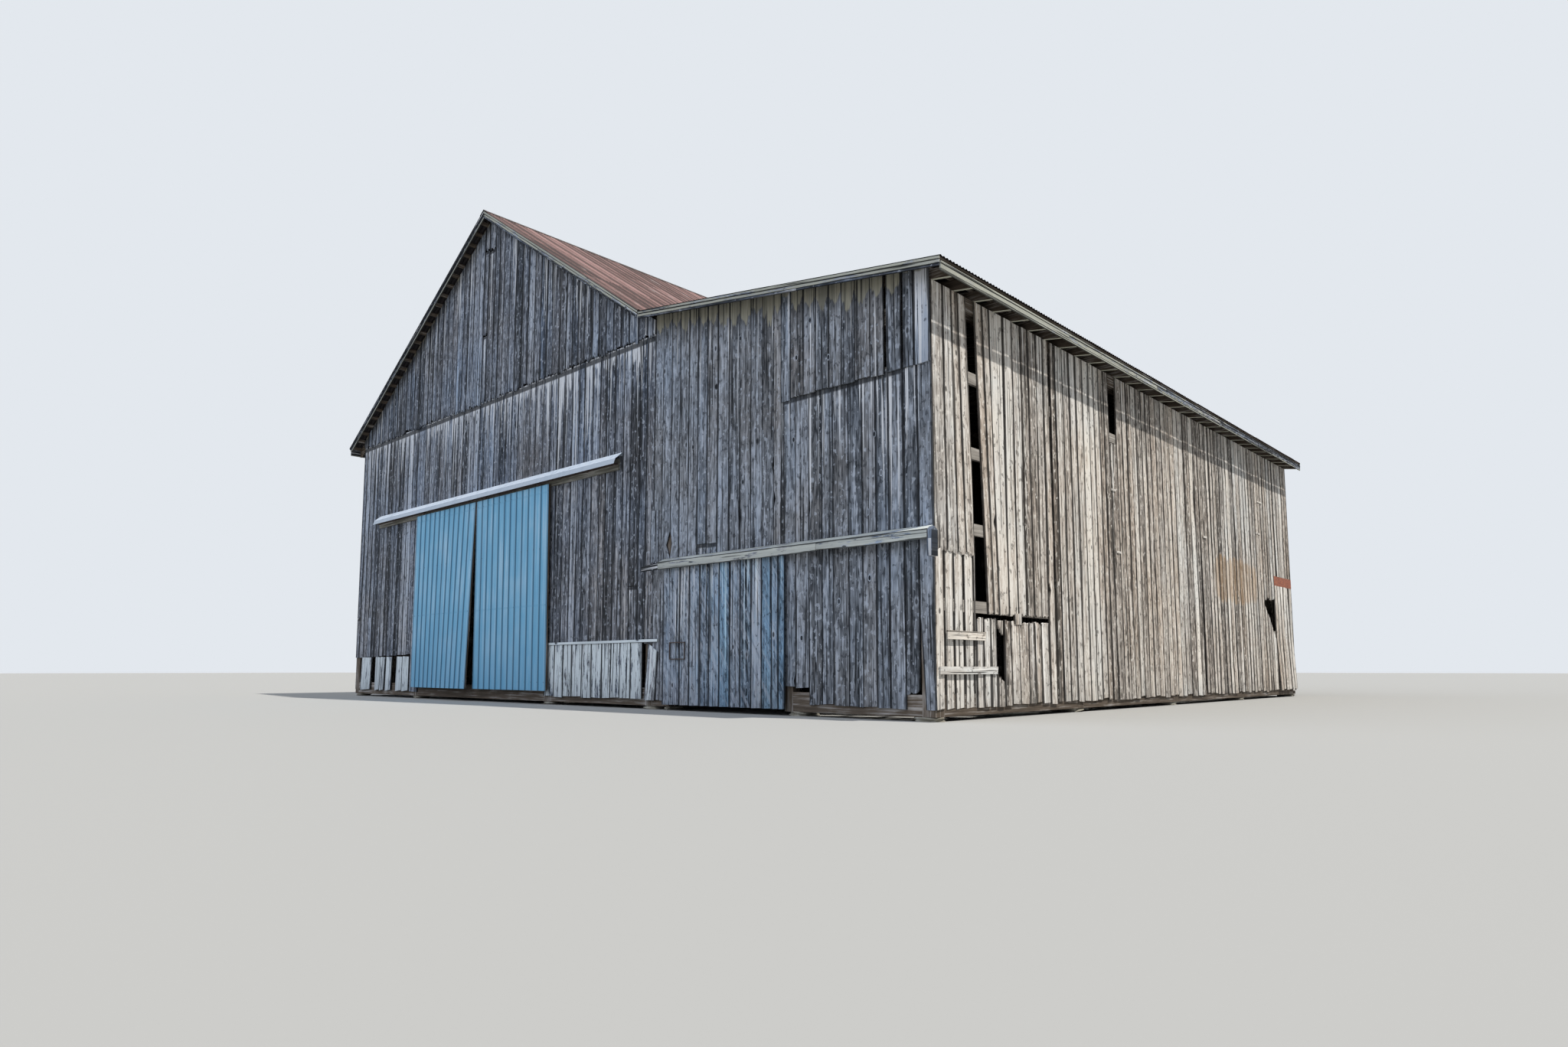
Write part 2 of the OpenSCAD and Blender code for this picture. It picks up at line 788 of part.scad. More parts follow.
module door_rail() {
    x0 = hood_x + spacer_w;
    x1 = hood_x + hood_w - spacer_w;
    spacers = 12;
    step = (x1 - x0 - spacer_w) / (spacers - 1);
    color(iron) place() {
        block(x0, x1, -rail_out - rail_t, -rail_out, rail_top - rail_d, rail_top);
        for (i = [0 : spacers - 1])
            block(x0 + i * step, x0 + i * step + spacer_w, -rail_out, -track_board_t,
                  spacer_z, spacer_z + spacer_h);
    }
}

// Bent sheet: a flange on the wall, a slope, and a lip that hangs over the trolleys
hood_flange = 60;
hood_fall = 130;
hood_lip = 100;
hood_lip_out = 35;
hood_root = 11;

module track_hood() {
    bend_out = hood_out - hood_lip_out;
    bend_z = hood_h - hood_fall;
    lip_z = bend_z - hood_lip;
    color(white_paint) place() extrude_x(hood_x, hood_x + hood_w) polygon([
        [0, hood_h], [-bend_out, bend_z], [-hood_out, lip_z], [-hood_out + skin_t, lip_z],
        [-bend_out + skin_t, bend_z - skin_t], [-skin_t, hood_h - hood_root],
        [-skin_t, hood_h - hood_flange], [0, hood_h - hood_flange]
    ]);
}

// Track of the boarded leaf

stable_cover_x = stable_x - 135;
stable_tip_x = stable_cover_x - 360;
cover_front_h = 110;
cover_rise = 70;
bracket_t = 80;
bracket_y = -20;
bracket_drop = 220;
bracket_peak = 50;

module stable_door_rail() {
    x0 = stable_x0 - stable_lap;
    x1 = total_w - cover_t;
    spacers = 7;
    step = (x1 - x0 - spacer_w) / (spacers - 1);
    color(iron) place() {
        block(x0, x1, -stable_rail_out - rail_t, -stable_rail_out,
              stable_rail_top - stable_rail_d, stable_rail_top);
        for (i = [0 : spacers - 1])
            block(x0 + i * step, x0 + i * step + spacer_w, -stable_rail_out, 0,
                  stable_rail_top - stable_rail_d,
                  stable_rail_top - stable_rail_d + stable_spacer_h);
    }
}

module stable_track_cover() {
    top_z = cover_low + cover_front_h;
    tip_z = cover_low + cover_front_h / 2;
    bracket_low = cover_low - bracket_drop;
    color(old_wood) place() {
        extrude_x(stable_cover_x, total_w) polygon([
            [0, top_z + cover_rise], [0, top_z + cover_rise + cover_t], [-cover_out, top_z + cover_t],
            [-cover_out, cover_low], [cover_t - cover_out, cover_low], [cover_t - cover_out, top_z]
        ]);
        extrude_y(-cover_out, cover_t - cover_out) polygon([
            [stable_tip_x, tip_z], [stable_cover_x + 1, cover_low], [stable_cover_x + 1, top_z]
        ]);
        extrude_x(total_w, total_w + bracket_t) polygon([
            [-cover_out, bracket_low], [bracket_y, bracket_low], [bracket_y, top_z],
            [-cover_out / 2, top_z + bracket_peak], [-cover_out, top_z]
        ]);
    }
}

// Steel leaves. A leaf's own places are x across it and z up it, and depth out from the wall.
// The kicks and the rack grow evenly from its head to its foot.

function fall(z) = (leaf_top - z) / (leaf_top - leaf_low);

function warp(x, z, depth, x0, kick0, kick1, lean) = [
    x0 + x - lean * fall(z),
    -depth - (kick0 + (kick1 - kick0) * x / leaf_w) * fall(z),
    z
];

function lerp(a, b, t) = a + (b - a) * t;

// Distance of a skin's flat face from the wall: it clears the timbers where the leaf is twisted
function skin_d(kick0, kick1) =
    leaf_back + leaf_frame_t + run_gap + rail_w * abs(kick1 - kick0) / leaf_w / 4 + skin_t;

// A closed solid over a grid of rows and columns of points, front grid first
function grid_faces(cols, rows) = let (n = cols * rows) concat(
    [for (r = [0 : rows - 2], c = [0 : cols - 2], k = [0, 1]) let (i = r * cols + c)
        k == 0 ? [i, i + 1, i + cols + 1] : [i, i + cols + 1, i + cols]],
    [for (r = [0 : rows - 2], c = [0 : cols - 2], k = [0, 1]) let (i = n + r * cols + c)
        k == 0 ? [i, i + cols + 1, i + 1] : [i, i + cols, i + cols + 1]],
    [for (c = [0 : cols - 2], k = [0, 1])
        k == 0 ? [c, n + c, n + c + 1] : [c, n + c + 1, c + 1]],
    [for (c = [0 : cols - 2], k = [0, 1]) let (i = (rows - 1) * cols + c)
        k == 0 ? [i, i + 1, n + i + 1] : [i, n + i + 1, n + i]],
    [for (r = [0 : rows - 2], k = [0, 1]) let (i = r * cols)
        k == 0 ? [i, i + cols, n + i + cols] : [i, n + i + cols, n + i]],
    [for (r = [0 : rows - 2], k = [0, 1]) let (i = r * cols + cols - 1)
        k == 0 ? [i, n + i, n + i + cols] : [i, n + i + cols, i + cols]]
);

// A square-cut timber of a leaf, centred on its length's start and on its width, and planed
// down on both faces by the inset
module leaf_timber(length, width, angles, inset = 0) {
    d0 = leaf_back + leaf_frame_t;
    rotate(angles) block(0, length, inset - d0, -leaf_back - inset, -width / 2, width / 2);
}

module leaf_frame(x0, kick0, kick1, lean) {
    tall = leaf_top - leaf_low;
    inner = leaf_w - rail_w;
    tenon = 20;
    brace_w = rail_w * 0.75;
    brace_inset = 3;
    stile_inset = 1;
    half = rail_w / 2;
    tilt = -atan((kick0 + kick1) / 2 / tall);
    head = leaf_top - rail_w + tenon;
    lows = [leaf_low + 1, leaf_low + (tall - rail_w) / 2];
    union() {
        block(x0, x0 + leaf_w, -leaf_back - leaf_frame_t, -leaf_back, leaf_top - rail_w, leaf_top);
        for (x = [half, leaf_w - half]) {
            kick = kick0 + (kick1 - kick0) * x / leaf_w;
            yaw = -atan((kick1 - kick0) / leaf_w) / 2;
            translate([x0 + x - lean * fall(head), -kick * fall(head), head])
                rotate([-atan(kick / tall), atan(lean / tall), yaw])
                    leaf_timber(head - leaf_low - 1, rail_w, [0, 90, 0], stile_inset);
        }
        for (z = lows) {
            f = fall(z + half);
            yaw = -atan((kick1 - kick0) * f / leaf_w);
            translate([x0 - lean * f, -kick0 * f, z + half]) rotate([0, 0, yaw])
                translate([rail_w - tenon, 0, 0])
                    leaf_timber(inner - rail_w + 2 * tenon, rail_w, [tilt, 0, 0]);
            p = warp(half, z + half, 0, x0, kick0, kick1, lean);
            q = warp(leaf_w - half, z + half + (tall - rail_w) / 2, 0, x0, kick0, kick1, lean);
            run = norm([q[0] - p[0], q[1] - p[1]]);
            translate(p) rotate([0, -atan((q[2] - p[2]) / run), atan((q[1] - p[1]) / (q[0] - p[0]))])
                leaf_timber(norm(q - p), brace_w, [tilt, 0, 0], brace_inset);
        }
    }
}

// Ribbed steel skin over the frame's whole face
module leaf_sheet(x0, kick0, kick1, lean) {
    ribs = floor((leaf_w - rib_step / 2) / rib_step);
    first = (leaf_w - (ribs - 1) * rib_step) / 2;
    foot = 24;
    crest = 10;
    cols = concat([[0, 0]],
        [for (i = [0 : ribs - 1], k = [[-foot, 0], [-crest, rib_h], [crest, rib_h], [foot, 0]])
            [first + i * rib_step + k[0], k[1]]],
        [[leaf_w, 0]]);
    rows = 6;
    face = skin_d(kick0, kick1);
    pts = [for (d = [face, face - skin_t], r = [0 : rows], c = cols)
        warp(c[0], lerp(leaf_low, leaf_top, r / rows), d + c[1], x0, kick0, kick1, lean)];
    polyhedron(pts, grid_faces(len(cols), rows + 1));
}

// A trolley on the leaf's head: foot, upright, axle and wheel
module hanger(x, out, head, rail_z, r, seat_d0, seat_d1) {
    axle_z = rail_z + run_gap + r;
    plate_d0 = out + rail_t + plate_gap;
    wheel_d0 = out + rail_t / 2 - wheel_w / 2;
    block(x - hanger_w / 2, x + hanger_w / 2, -seat_d1, -seat_d0, head, head + hanger_t);
    block(x - hanger_w / 4, x + hanger_w / 4, -plate_d0 - hanger_t, -plate_d0, head, axle_z + r);
    translate([x, -plate_d0, axle_z]) rotate([-90, 0, 0])
        cylinder(h = plate_d0 - wheel_d0, r = axle_r, $fn = 48);
    translate([x, -wheel_d0 - wheel_w, axle_z]) rotate([-90, 0, 0])
        cylinder(h = wheel_w, r = r, $fn = 48);
}

module leaf_hangers(x0) {
    color(iron) place()
        for (x = [x0 + hanger_inset, x0 + leaf_w - hanger_inset])
            hanger(x, rail_out, leaf_top, rail_top, wheel_r, leaf_back, leaf_back + leaf_frame_t);
}

module left_door_frame() {
    color(dark_wood) place() leaf_frame(pair_x, kick_left, kick_right, 0);
}

module left_door_sheet() {
    color(steel_blue) place() leaf_sheet(pair_x, kick_left, kick_right, 0);
}

module left_door_hangers() {
    leaf_hangers(pair_x);
}

module right_door_frame() {
    color(dark_wood) place() leaf_frame(right_pair_x, 0, 0, -rack);
}

module right_door_sheet() {
    color(steel_blue) place() leaf_sheet(right_pair_x, 0, 0, -rack);
}

module right_door_hangers() {
    leaf_hangers(right_pair_x);
}

// Boarded leaf

stable_face = stable_back + 2 * stable_t;

module stable_door_boards() {
    color(front_wood) place()
        block(stable_x, stable_x + stable_w, -stable_face, -stable_back - stable_t,
              stable_low, stable_top);
}

module stable_door_ledges() {
    side = 60;
    foot_gap = 150;
    head_gap = 80;
    x0 = stable_x + side;
    x1 = stable_x + stable_w - side;
    lows = [stable_low + foot_gap, (stable_low + stable_top - ledge_d) / 2,
            stable_top - ledge_d - head_gap];
    run = ledge_d * 1.3;
    color(dark_wood) place() extrude_y(-stable_back - stable_t, -stable_back) union() {
        for (z = lows) translate([x0, z]) square([x1 - x0, ledge_d]);
        for (k = [0, 1]) {
            z0 = lows[k] + ledge_d - 1;
            z1 = lows[k + 1] + 1;
            polygon([[x0 + side, z0], [x0 + side + run, z0], [x1 - side, z1], [x1 - side - run, z1]]);
        }
    }
}

handle_x = stable_x + 205;
handle_w = 380;
handle_z = 824;
handle_h = 282;
handle_bar = 14;
handle_out = 8;

module stable_door_handle() {
    color(iron) place() {
        extrude_y(-stable_face - handle_out - handle_bar, -stable_face - handle_out) difference() {
            translate([handle_x, handle_z]) square([handle_w, handle_h]);
            translate([handle_x + handle_bar, handle_z + handle_bar])
                square([handle_w - 2 * handle_bar, handle_h - 2 * handle_bar]);
        }
        for (x = [handle_x, handle_x + handle_w - handle_bar],
             z = [handle_z, handle_z + handle_h - handle_bar])
            block(x, x + handle_bar, -stable_face - handle_out, -stable_face, z, z + handle_bar);
    }
}

module stable_door_hangers() {
    color(iron) place()
        for (x = [stable_x + hanger_inset, stable_x + stable_w - hanger_inset])
            hanger(x, stable_rail_out, stable_top, stable_rail_top, stable_wheel_r,
                   stable_back + stable_t, stable_face);
}

stone_piers();
sill_beams();
wall_posts();
aisle_posts();
tie_beams();
door_headers();
roof_plates();
knee_braces();
wall_girts();
main_rafters();
lean_to_rafters();
ridge_board();
roof_lath();
left_roof();
right_roof();
lean_to_roof();
ridge_cap();
rake_boards();
eave_boards();
front_wall_left();
front_wall_over_doors();
front_wall_middle();
front_gable();
front_wall_over_stable_door();
front_wall_right();
front_wall_upper_right();
left_wall();
back_wall();
back_wall_lean_to();
right_wall_corner();
right_wall_low();
right_wall_middle();
right_wall_rear();
right_wall_rear_corner();
front_skirts();
side_battens();
corner_flashing();
track_board();
door_rail();
track_hood();
stable_door_rail();
stable_track_cover();
left_door_frame();
left_door_sheet();
left_door_hangers();
right_door_frame();
right_door_sheet();
right_door_hangers();
stable_door_boards();
stable_door_ledges();
stable_door_handle();
stable_door_hangers();
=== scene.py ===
import math
from collections import namedtuple

import bmesh
import bpy
import numpy as np
from mathutils import Euler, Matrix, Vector
from mathutils.bvhtree import BVHTree


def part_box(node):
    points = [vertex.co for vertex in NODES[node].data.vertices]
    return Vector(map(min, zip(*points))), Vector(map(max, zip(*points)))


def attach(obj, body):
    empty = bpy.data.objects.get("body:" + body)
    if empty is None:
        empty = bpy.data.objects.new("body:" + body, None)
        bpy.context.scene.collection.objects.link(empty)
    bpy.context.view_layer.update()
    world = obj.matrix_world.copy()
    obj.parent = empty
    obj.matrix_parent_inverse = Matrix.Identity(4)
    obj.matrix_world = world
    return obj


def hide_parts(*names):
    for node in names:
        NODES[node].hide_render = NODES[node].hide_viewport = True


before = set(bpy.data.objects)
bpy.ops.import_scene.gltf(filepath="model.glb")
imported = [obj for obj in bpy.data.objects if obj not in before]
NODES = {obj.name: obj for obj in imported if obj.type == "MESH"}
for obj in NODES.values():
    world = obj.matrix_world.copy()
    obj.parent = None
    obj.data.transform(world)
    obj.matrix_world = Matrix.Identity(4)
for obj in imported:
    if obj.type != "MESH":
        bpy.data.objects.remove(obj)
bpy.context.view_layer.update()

bl_info = {
    "name": "Weathered Timber Barn",
    "version": (1, 0, 0),
    "blender": (4, 5, 0),
    "location": "View3D > Sidebar > Barn",
    "description": "Boards, corrugated roof, trims and doors of a weathered timber barn",
    "category": "Object",
}

# Places are measured in metres from the front left corner of the walls, as in the part's source
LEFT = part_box("front_wall_left")[0].x
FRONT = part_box("front_wall_left")[0].y


def end_of(node, side):
    """Where a node ends: at its left, right, front, back, foot or head."""
    low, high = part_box(node)
    return {"left": low.x - LEFT, "right": high.x - LEFT, "front": low.y - FRONT,
            "back": high.y - FRONT, "foot": low.z, "head": high.z}[side]


WIDTH = end_of("right_wall_middle", "right")
DEPTH = end_of("back_wall", "back")
BLOCK_W = end_of("back_wall", "right")
RIDGE_X = end_of("left_roof", "right")
BOARD_T = 0.025
LATH_T = 0.028
# The blue leaves: height, top above the ground, first rib from the edge and rib spacing
LEAF_H = 3.99
LEAF_TOP = 4.25
FIRST_RIB = 0.252
RIB_STEP = 0.2286
BLACK = (0, 0, 0)
WHITE = (1, 1, 1)


def linear(code):
    """An sRGB hex colour as linear red, green and blue."""
    parts = [int(code[i:i + 2], 16) / 255 for i in (1, 3, 5)]
    return tuple(c / 12.92 if c <= 0.04045 else ((c + 0.055) / 1.055) ** 2.4 for c in parts)


def colour(name, description, code):
    """A colour property with a hex default."""
    return bpy.props.FloatVectorProperty(
        name=name, description=description, subtype="COLOR", size=3, min=0, max=1,
        default=linear(code))


def length(name, description, metres):
    """A length property."""
    return bpy.props.FloatProperty(
        name=name, description=description, default=metres, min=0, unit="LENGTH")


class BarnSizes(bpy.types.PropertyGroup):
    board_w: length("Board width", "Usual width of a wall board", 0.235)
    board_gap: length("Board gap", "Usual gap between two wall boards", 0.005)
    ridge_pitch: length("Corrugation pitch", "Distance between the crests of a roof sheet", 0.0762)
    ridge_depth: length("Corrugation depth", "Depth of a roof sheet from crest to trough", 0.014)
    sheet_w: length("Sheet cover", "Width that one roof sheet covers", 0.6096)
    sheet_lap: length("Sheet lap", "Lap of a roof sheet over the one below it", 0.15)


class BarnFinishes(bpy.types.PropertyGroup):
    # The front boards' colours are darker and bluer than the side boards': one wood, with the front's
    # shade painted in and the side's sunlight painted in
    front_dark: colour("Front boards, dark", "Dark streaks in the front wall's boards", "#2f343b")
    front_mid: colour("Front boards, middle", "Main tone of the front wall's boards", "#6a717e")
    front_light: colour("Front boards, light", "Pale streaks in the front wall's boards", "#a9b1be")
    front_brown: colour("Front boards, brown", "Wood that hasn't silvered yet", "#6b6258")
    side_dark: colour("Side boards, dark", "Dark streaks in the side wall's boards", "#5a5550")
    side_mid: colour("Side boards, middle", "Main tone of the side wall's boards", "#bbb2a9")
    side_light: colour("Side boards, light", "Pale streaks in the side wall's boards", "#e6e2db")
    side_brown: colour("Side boards, brown", "Wood that hasn't silvered yet", "#a0968b")
    sheltered: colour("Sheltered band", "Wood under the eaves that the rain doesn't reach", "#9d9a8a")
    timber: colour("Frame timber", "Posts, beams and rafters", "#5d5349")
    trim: colour("Trim paint", "Old paint on the rake and eave boards", "#b3b4a6")
    skirt: colour("Skirt paint", "White paint on the boards along the foot of the wall", "#dae4e9")
    door_blue: colour("Door blue", "Paint on the ribbed steel doors", "#67a4c6")
    stain_blue: colour("Blue stain", "Stain left on the boarded door", "#79a9bd")
    hood: colour("Hood paint", "Pale paint on the bent steel hood", "#e6eff8")
    rust: colour("Rust", "Main tone of the rusty roof sheets", "#5f4641")
    # Dark rust in the troughs and pale pink on the crests are partly painted shade and a painted
    # highlight
    rust_dark: colour("Dark rust", "Deep rust in the troughs and laps", "#35231f")
    rust_light: colour("Pale rust", "Dusty pink on the crests of the sheets", "#8d6f6b")
    iron: colour("Iron", "Forged ironwork", "#4a4340")
    stone: colour("Stone", "Flat field stones", "#8f8c82")


def mix(a, b, share):
    """A colour between two colours."""
    return tuple(x + (y - x) * share for x, y in zip(a, b))


def pure(c):
    """A colour's tint alone, as bright as it can be."""
    return tuple(x / max(c) for x in c)


def put(tree, kind, inputs=None, out=0, stops=(), **settings):
    """Adds a node with its settings, its inputs' values or links and its colour stops, and gives
    one of its outputs."""
    made = tree.nodes.new(kind)
    for name, value in settings.items():
        setattr(made, name, value)
    for key, value in (inputs or {}).items():
        socket = made.inputs[key]
        if isinstance(value, bpy.types.NodeSocket):
            tree.links.new(value, socket)
        elif socket.type == "RGBA":
            socket.default_value = (*value[:3], 1)
        else:
            socket.default_value = value
    for _ in stops[2:]:
        made.color_ramp.elements.new(0.5)
    for k, (place, value) in enumerate(stops):
        made.color_ramp.elements[k].position = place
        made.color_ramp.elements[k].color = (*value[:3], 1)
    return made.outputs[out]


class Look:
    """A material, with a short way to add each kind of node that the barn's finishes use."""

    def __init__(self, name):
        self.material = bpy.data.materials.new(name)
        self.material.use_nodes = True
        self.tree = self.material.node_tree
        self.tree.nodes.clear()

    def split(self, vector):
        return tuple(put(self.tree, "ShaderNodeSeparateXYZ", {0: vector}).node.outputs)

    def join(self, x, y, z):
        return put(self.tree, "ShaderNodeCombineXYZ", {0: x, 1: y, 2: z})

    def place(self):
        return put(self.tree, "ShaderNodeTexCoord", out="Object")

    def facing(self):
        return self.split(put(self.tree, "ShaderNodeNewGeometry", out="Normal"))

    def label(self, name):
        """The values that a pile gave to its points under one label."""
        return put(self.tree, "ShaderNodeAttribute", attribute_name=name, out="Vector")

    def vectors(self, operation, a, b):
        return put(self.tree, "ShaderNodeVectorMath", {0: a, 1: b}, operation=operation)

    def math(self, operation, *values):
        return put(self.tree, "ShaderNodeMath", dict(enumerate(values)), operation=operation)

    def times(self, a, b, plus=0.0):
        return self.math("MULTIPLY_ADD", a, b, plus)

    def largest(self, first, *others):
        for other in others:
            first = self.math("MAXIMUM", first, other)
        return first

    def noise(self, at, scale=1.0, detail=2, roughness=0.5):
        return put(self.tree, "ShaderNodeTexNoise",
                   {"Vector": at, "Scale": scale, "Detail": detail, "Roughness": roughness})

    def cells(self, at, scale=1.0):
        return put(self.tree, "ShaderNodeTexVoronoi", {"Vector": at, "Scale": scale},
                   out="Distance")

    def ramp(self, value, low, high, bottom=0.0, top=1.0):
        """A value taken from one range to another and held at its ends."""
        return put(self.tree, "ShaderNodeMapRange", {0: value, 1: low, 2: high, 3: bottom, 4: top})

    def tones(self, value, *stops):
        return put(self.tree, "ShaderNodeValToRGB", {0: value}, stops=stops)

    def blend(self, share, a, b, how="MIX"):
        return put(self.tree, "ShaderNodeMix", {0: share, 6: a, 7: b}, out=2, data_type="RGBA",
                   blend_type=how)

    def finish(self, base, roughness, bump=None, distance=0.003, specular=0.3):
        """Ends the material in one shader, with a bump where one is given."""
        inputs = {"Base Color": base, "Roughness": roughness, "Specular IOR Level": specular}
        if bump is not None:
            inputs["Normal"] = put(self.tree, "ShaderNodeBump",
                                   {"Strength": 0.7, "Distance": distance, "Height": bump})
        shader = put(self.tree, "ShaderNodeBsdfPrincipled", inputs)
        end = self.tree.nodes.new("ShaderNodeOutputMaterial")
        self.tree.links.new(shader, end.inputs["Surface"])
        return self.material


Wood = namedtuple("Wood", "dark mid light brown sheltered")


class BoardLook(Look):
    """A look that knows each board: the place on it, its kind, its run and its wear."""

    def __init__(self, name, wood):
        super().__init__(name)
        self.wood = wood
        # Across from the middle, along, and half the width
        self.u, self.v, self.half = self.split(self.label("board_place"))
        self.tone, self.seed, self.hue = self.split(self.label("board_kind"))
        # Down from the head, up from the foot, and depth of the dry band
        self.drop, self.rise, self.band = self.split(self.label("board_run"))
        self.drip, self.painted, self.line = self.split(self.label("board_wear"))
        self.grain = self.join(self.u, self.v, self.seed)
        self.here = self.place()

    def streaks(self, across, along, shift, detail=2, roughness=0.5):
        at = self.vectors("MULTIPLY", self.grain, (across, along, shift))
        return self.noise(at, 1, detail, roughness)


def silvered(t, middle, tints, contrast):
    """Grey wood in streaks along the grain, with bluer and browner boards side by side."""
    dark, mid, light, brown, _ = t.wood
    fine = t.streaks(30, 5, 5, 1)
    patch = t.noise(t.here, 0.6, 4, 0.6)
    value = t.times(middle, contrast, -0.32 - contrast / 2)
    for part, share in ((fine, 1.1), (patch, 0.5), (t.tone, 0.24)):
        value = t.times(part, share, value)
    base = t.tones(value, (0.0, mix(dark, BLACK, 0.35)), (0.25, mix(dark, mid, 0.45)), (0.5, mid),
                   (0.75, mix(mid, light, 0.5)), (1.0, light))
    tint = t.times(t.hue, 0.3 * tints, t.times(patch, 2.0 * tints, 0.5 - tints))
    tint = t.tones(tint, (0.0, mix(pure(brown), WHITE, 0.35)), (0.5, linear("#f9f9f9")),
                   (1.0, linear("#e7f3ff")))
    base = t.blend(1.0, base, tint, "MULTIPLY")
    # Thin pale streaks where the grain has bleached, and small pale and dark specks
    pale = t.ramp(t.streaks(20, 0.35, 77, 3, 0.6), 0.58, 0.62)
    pale = t.times(pale, t.ramp(fine, 0.38, 0.55))
    base = t.blend(t.times(pale, 0.75), base, light)
    base = t.blend(t.ramp(t.cells(t.here, 5.5), 0.13, 0.09, 0, 0.65), base, light)
    fleck = t.streaks(17, 10, 143)
    base = t.blend(t.ramp(fleck, 0.61, 0.65, 0, 0.55), base, light)
    return t.blend(t.ramp(fleck, 0.39, 0.35, 0, 0.6), base, mix(dark, BLACK, 0.3))


def rained(t, base):
    """Rain marks: pale runs from the board's head, and short drips under it."""
    runs = t.times(t.drip, 0.12, t.times(t.drop, -0.07, t.streaks(20, 0.2, 53, 4)))
    short = t.ramp(t.times(t.drop, -0.5, t.streaks(24, 1.6, 11)), 0.42, 0.45)
    short = t.times(short, t.math("GREATER_THAN", t.drip, 0.02))
    rain = t.largest(t.ramp(runs, 0.56, 0.59), short)
    return t.blend(t.times(rain, 0.85), base, mix(t.wood.light, WHITE, 0.45))


def dry_band(t, base, middle):
    """The dry band under the eaves, which ends in dark tongues."""
    dark, _, _, brown, sheltered = t.wood
    tooth = t.math("SUBTRACT", 1.0, t.math("DIVIDE", t.math("ABSOLUTE", t.u), t.half))
    tooth = t.times(t.times(tooth, 0.45, t.streaks(13, 0.4, 91, 3, 0.65)), 1.1)
    dry = t.times(tooth, t.band, t.times(t.drop, -1.0))
    wet = t.times(t.ramp(dry, -0.3, 0.0, 0, 0.6), t.math("GREATER_THAN", t.band, 0.1))
    base = t.blend(wet, base, mix(dark, brown, 0.2))
    dusty = t.blend(t.ramp(middle, 0.42, 0.58), mix(sheltered, dark, 0.45), sheltered)
    return t.blend(t.ramp(dry, 0.0, 0.03, 0, 0.85), base, dusty)


def bare_patch(t, base, middle, patch):
    """Wood laid bare of its grey skin, in a patch given by its middle and its half sizes."""
    off = t.vectors("DIVIDE", t.vectors("SUBTRACT", t.here, patch[0]), patch[1])
    x, y, z = [t.math("POWER", part, 4) for part in t.split(off)]
    off = t.times(middle, 1.6, t.math("ADD", x, t.math("ADD", y, z)))
    return t.blend(t.ramp(t.times(t.tone, 0.25, off), 1.9, 1.5, 0, 0.4), base, linear("#b8966e"))


def old_paint(t, base, middle, paint):
    """Paint that peels along the grain. Gives the colour and the share that is left."""
    kept = t.ramp(t.times(t.painted, 0.45, t.streaks(16, 2.0, 41, 6, 0.75)), 0.66, 0.69)
    full = t.blend(t.times(middle, 3.0, -1.0), mix(paint, t.wood.mid, 0.35), paint)
    return t.blend(t.times(kept, 0.9), base, full), kept


def old_stain(t, base, stain):
    """Stain that soaked into sawn wood and fades softly, with the marks that the saw left
    slanting across the boards. Gives the colour and the share that is left."""
    kept = t.ramp(t.times(t.painted, 0.45, t.streaks(16, 2.0, 41, 6, 0.75)), 0.5, 0.95)
    full = t.blend(1.0, base, mix(pure(stain), WHITE, 0.3), "MULTIPLY")
    base = t.blend(t.times(kept, 0.9), base, full)
    marks = t.noise(t.join(t.times(t.v, 13, t.times(t.u, 20)), t.u, t.seed))
    base = t.blend(t.ramp(marks, 0.54, 0.62, 0, 0.35), base, t.wood.light)
    return t.blend(t.ramp(marks, 0.44, 0.36, 0, 0.3), base, t.wood.dark), kept


def dark_lines(t, cell):
    """Checks, knots, and the dark lines at the joints, which are dirt and painted shade of the gaps,
    drawn up to 20 mm wide, and a painted shadow line under the boards above a seam.
    """
    checks = t.ramp(t.streaks(34, 0.5, 61), 0.60, 0.63)
    hand = t.join(t.times(t.math("SIGN", t.u), 7.3), t.times(t.v, 0.6), t.times(t.seed, 3.1))
    reach = t.times(t.ramp(t.noise(hand, 1, 4, 0.7), 0.35, 0.6, 0.006, 0.024), t.line)
    inward = t.math("SUBTRACT", t.half, t.math("ABSOLUTE", t.u))
    joint = t.ramp(t.math("SUBTRACT", inward, reach), 0.002, -0.002)
    # A band below zero says how far down the foot of the boards above casts its painted shadow line
    head = t.ramp(t.math("ABSOLUTE", t.math("ADD", t.drop, t.band)), 0.06, 0.035)
    head = t.times(head, t.math("LESS_THAN", t.band, 0.0))
    foot = t.ramp(t.rise, 0.4, 0.0, 0, 0.2)
    return t.times(t.largest(checks, joint, foot, head, t.ramp(cell, 0.08, 0.05)), 0.85)


def weathered_boards(name, wood, paint=None, stain=None, bare=None, tints=1.0, contrast=2.8):
    """Softwood boards, sawn and left bare until the sun silvered them: matt, with raised grain,
    long dark checks, knots, and pale streaks where rain ran. Grain lines are drawn 20 to 80 mm
    wide, as finer ones don't show."""
    t = BoardLook(name, wood)
    height = middle = t.streaks(12, 0.22, 31, 5, 0.78)
    base = silvered(t, middle, tints, contrast)
    base = rained(t, base)
    base = dry_band(t, base, middle)
    if bare:
        base = bare_patch(t, base, middle, bare)
    if paint:
        base, kept = old_paint(t, base, middle, paint)
        height = t.times(kept, 0.5, middle)
    if stain:
        base, kept = old_stain(t, base, stain)
        height = t.times(kept, 0.5, middle)
    cell = t.cells(t.vectors("MULTIPLY", t.grain, (3.0, 1.6, 29)))
    base = t.blend(t.ramp(cell, 0.15, 0.09, 0, 0.5), base, wood.light)
    # Dark marks: checks, knots and dirt, with painted shade in the joints and a painted shadow line
    # under seams
    dirt_and_shade = dark_lines(t, cell)
    base = t.blend(dirt_and_shade, base, mix(wood.dark, BLACK, 0.75))
    return t.finish(base, 0.88, t.times(dirt_and_shade, -1.0, height), 0.004, specular=0.2)


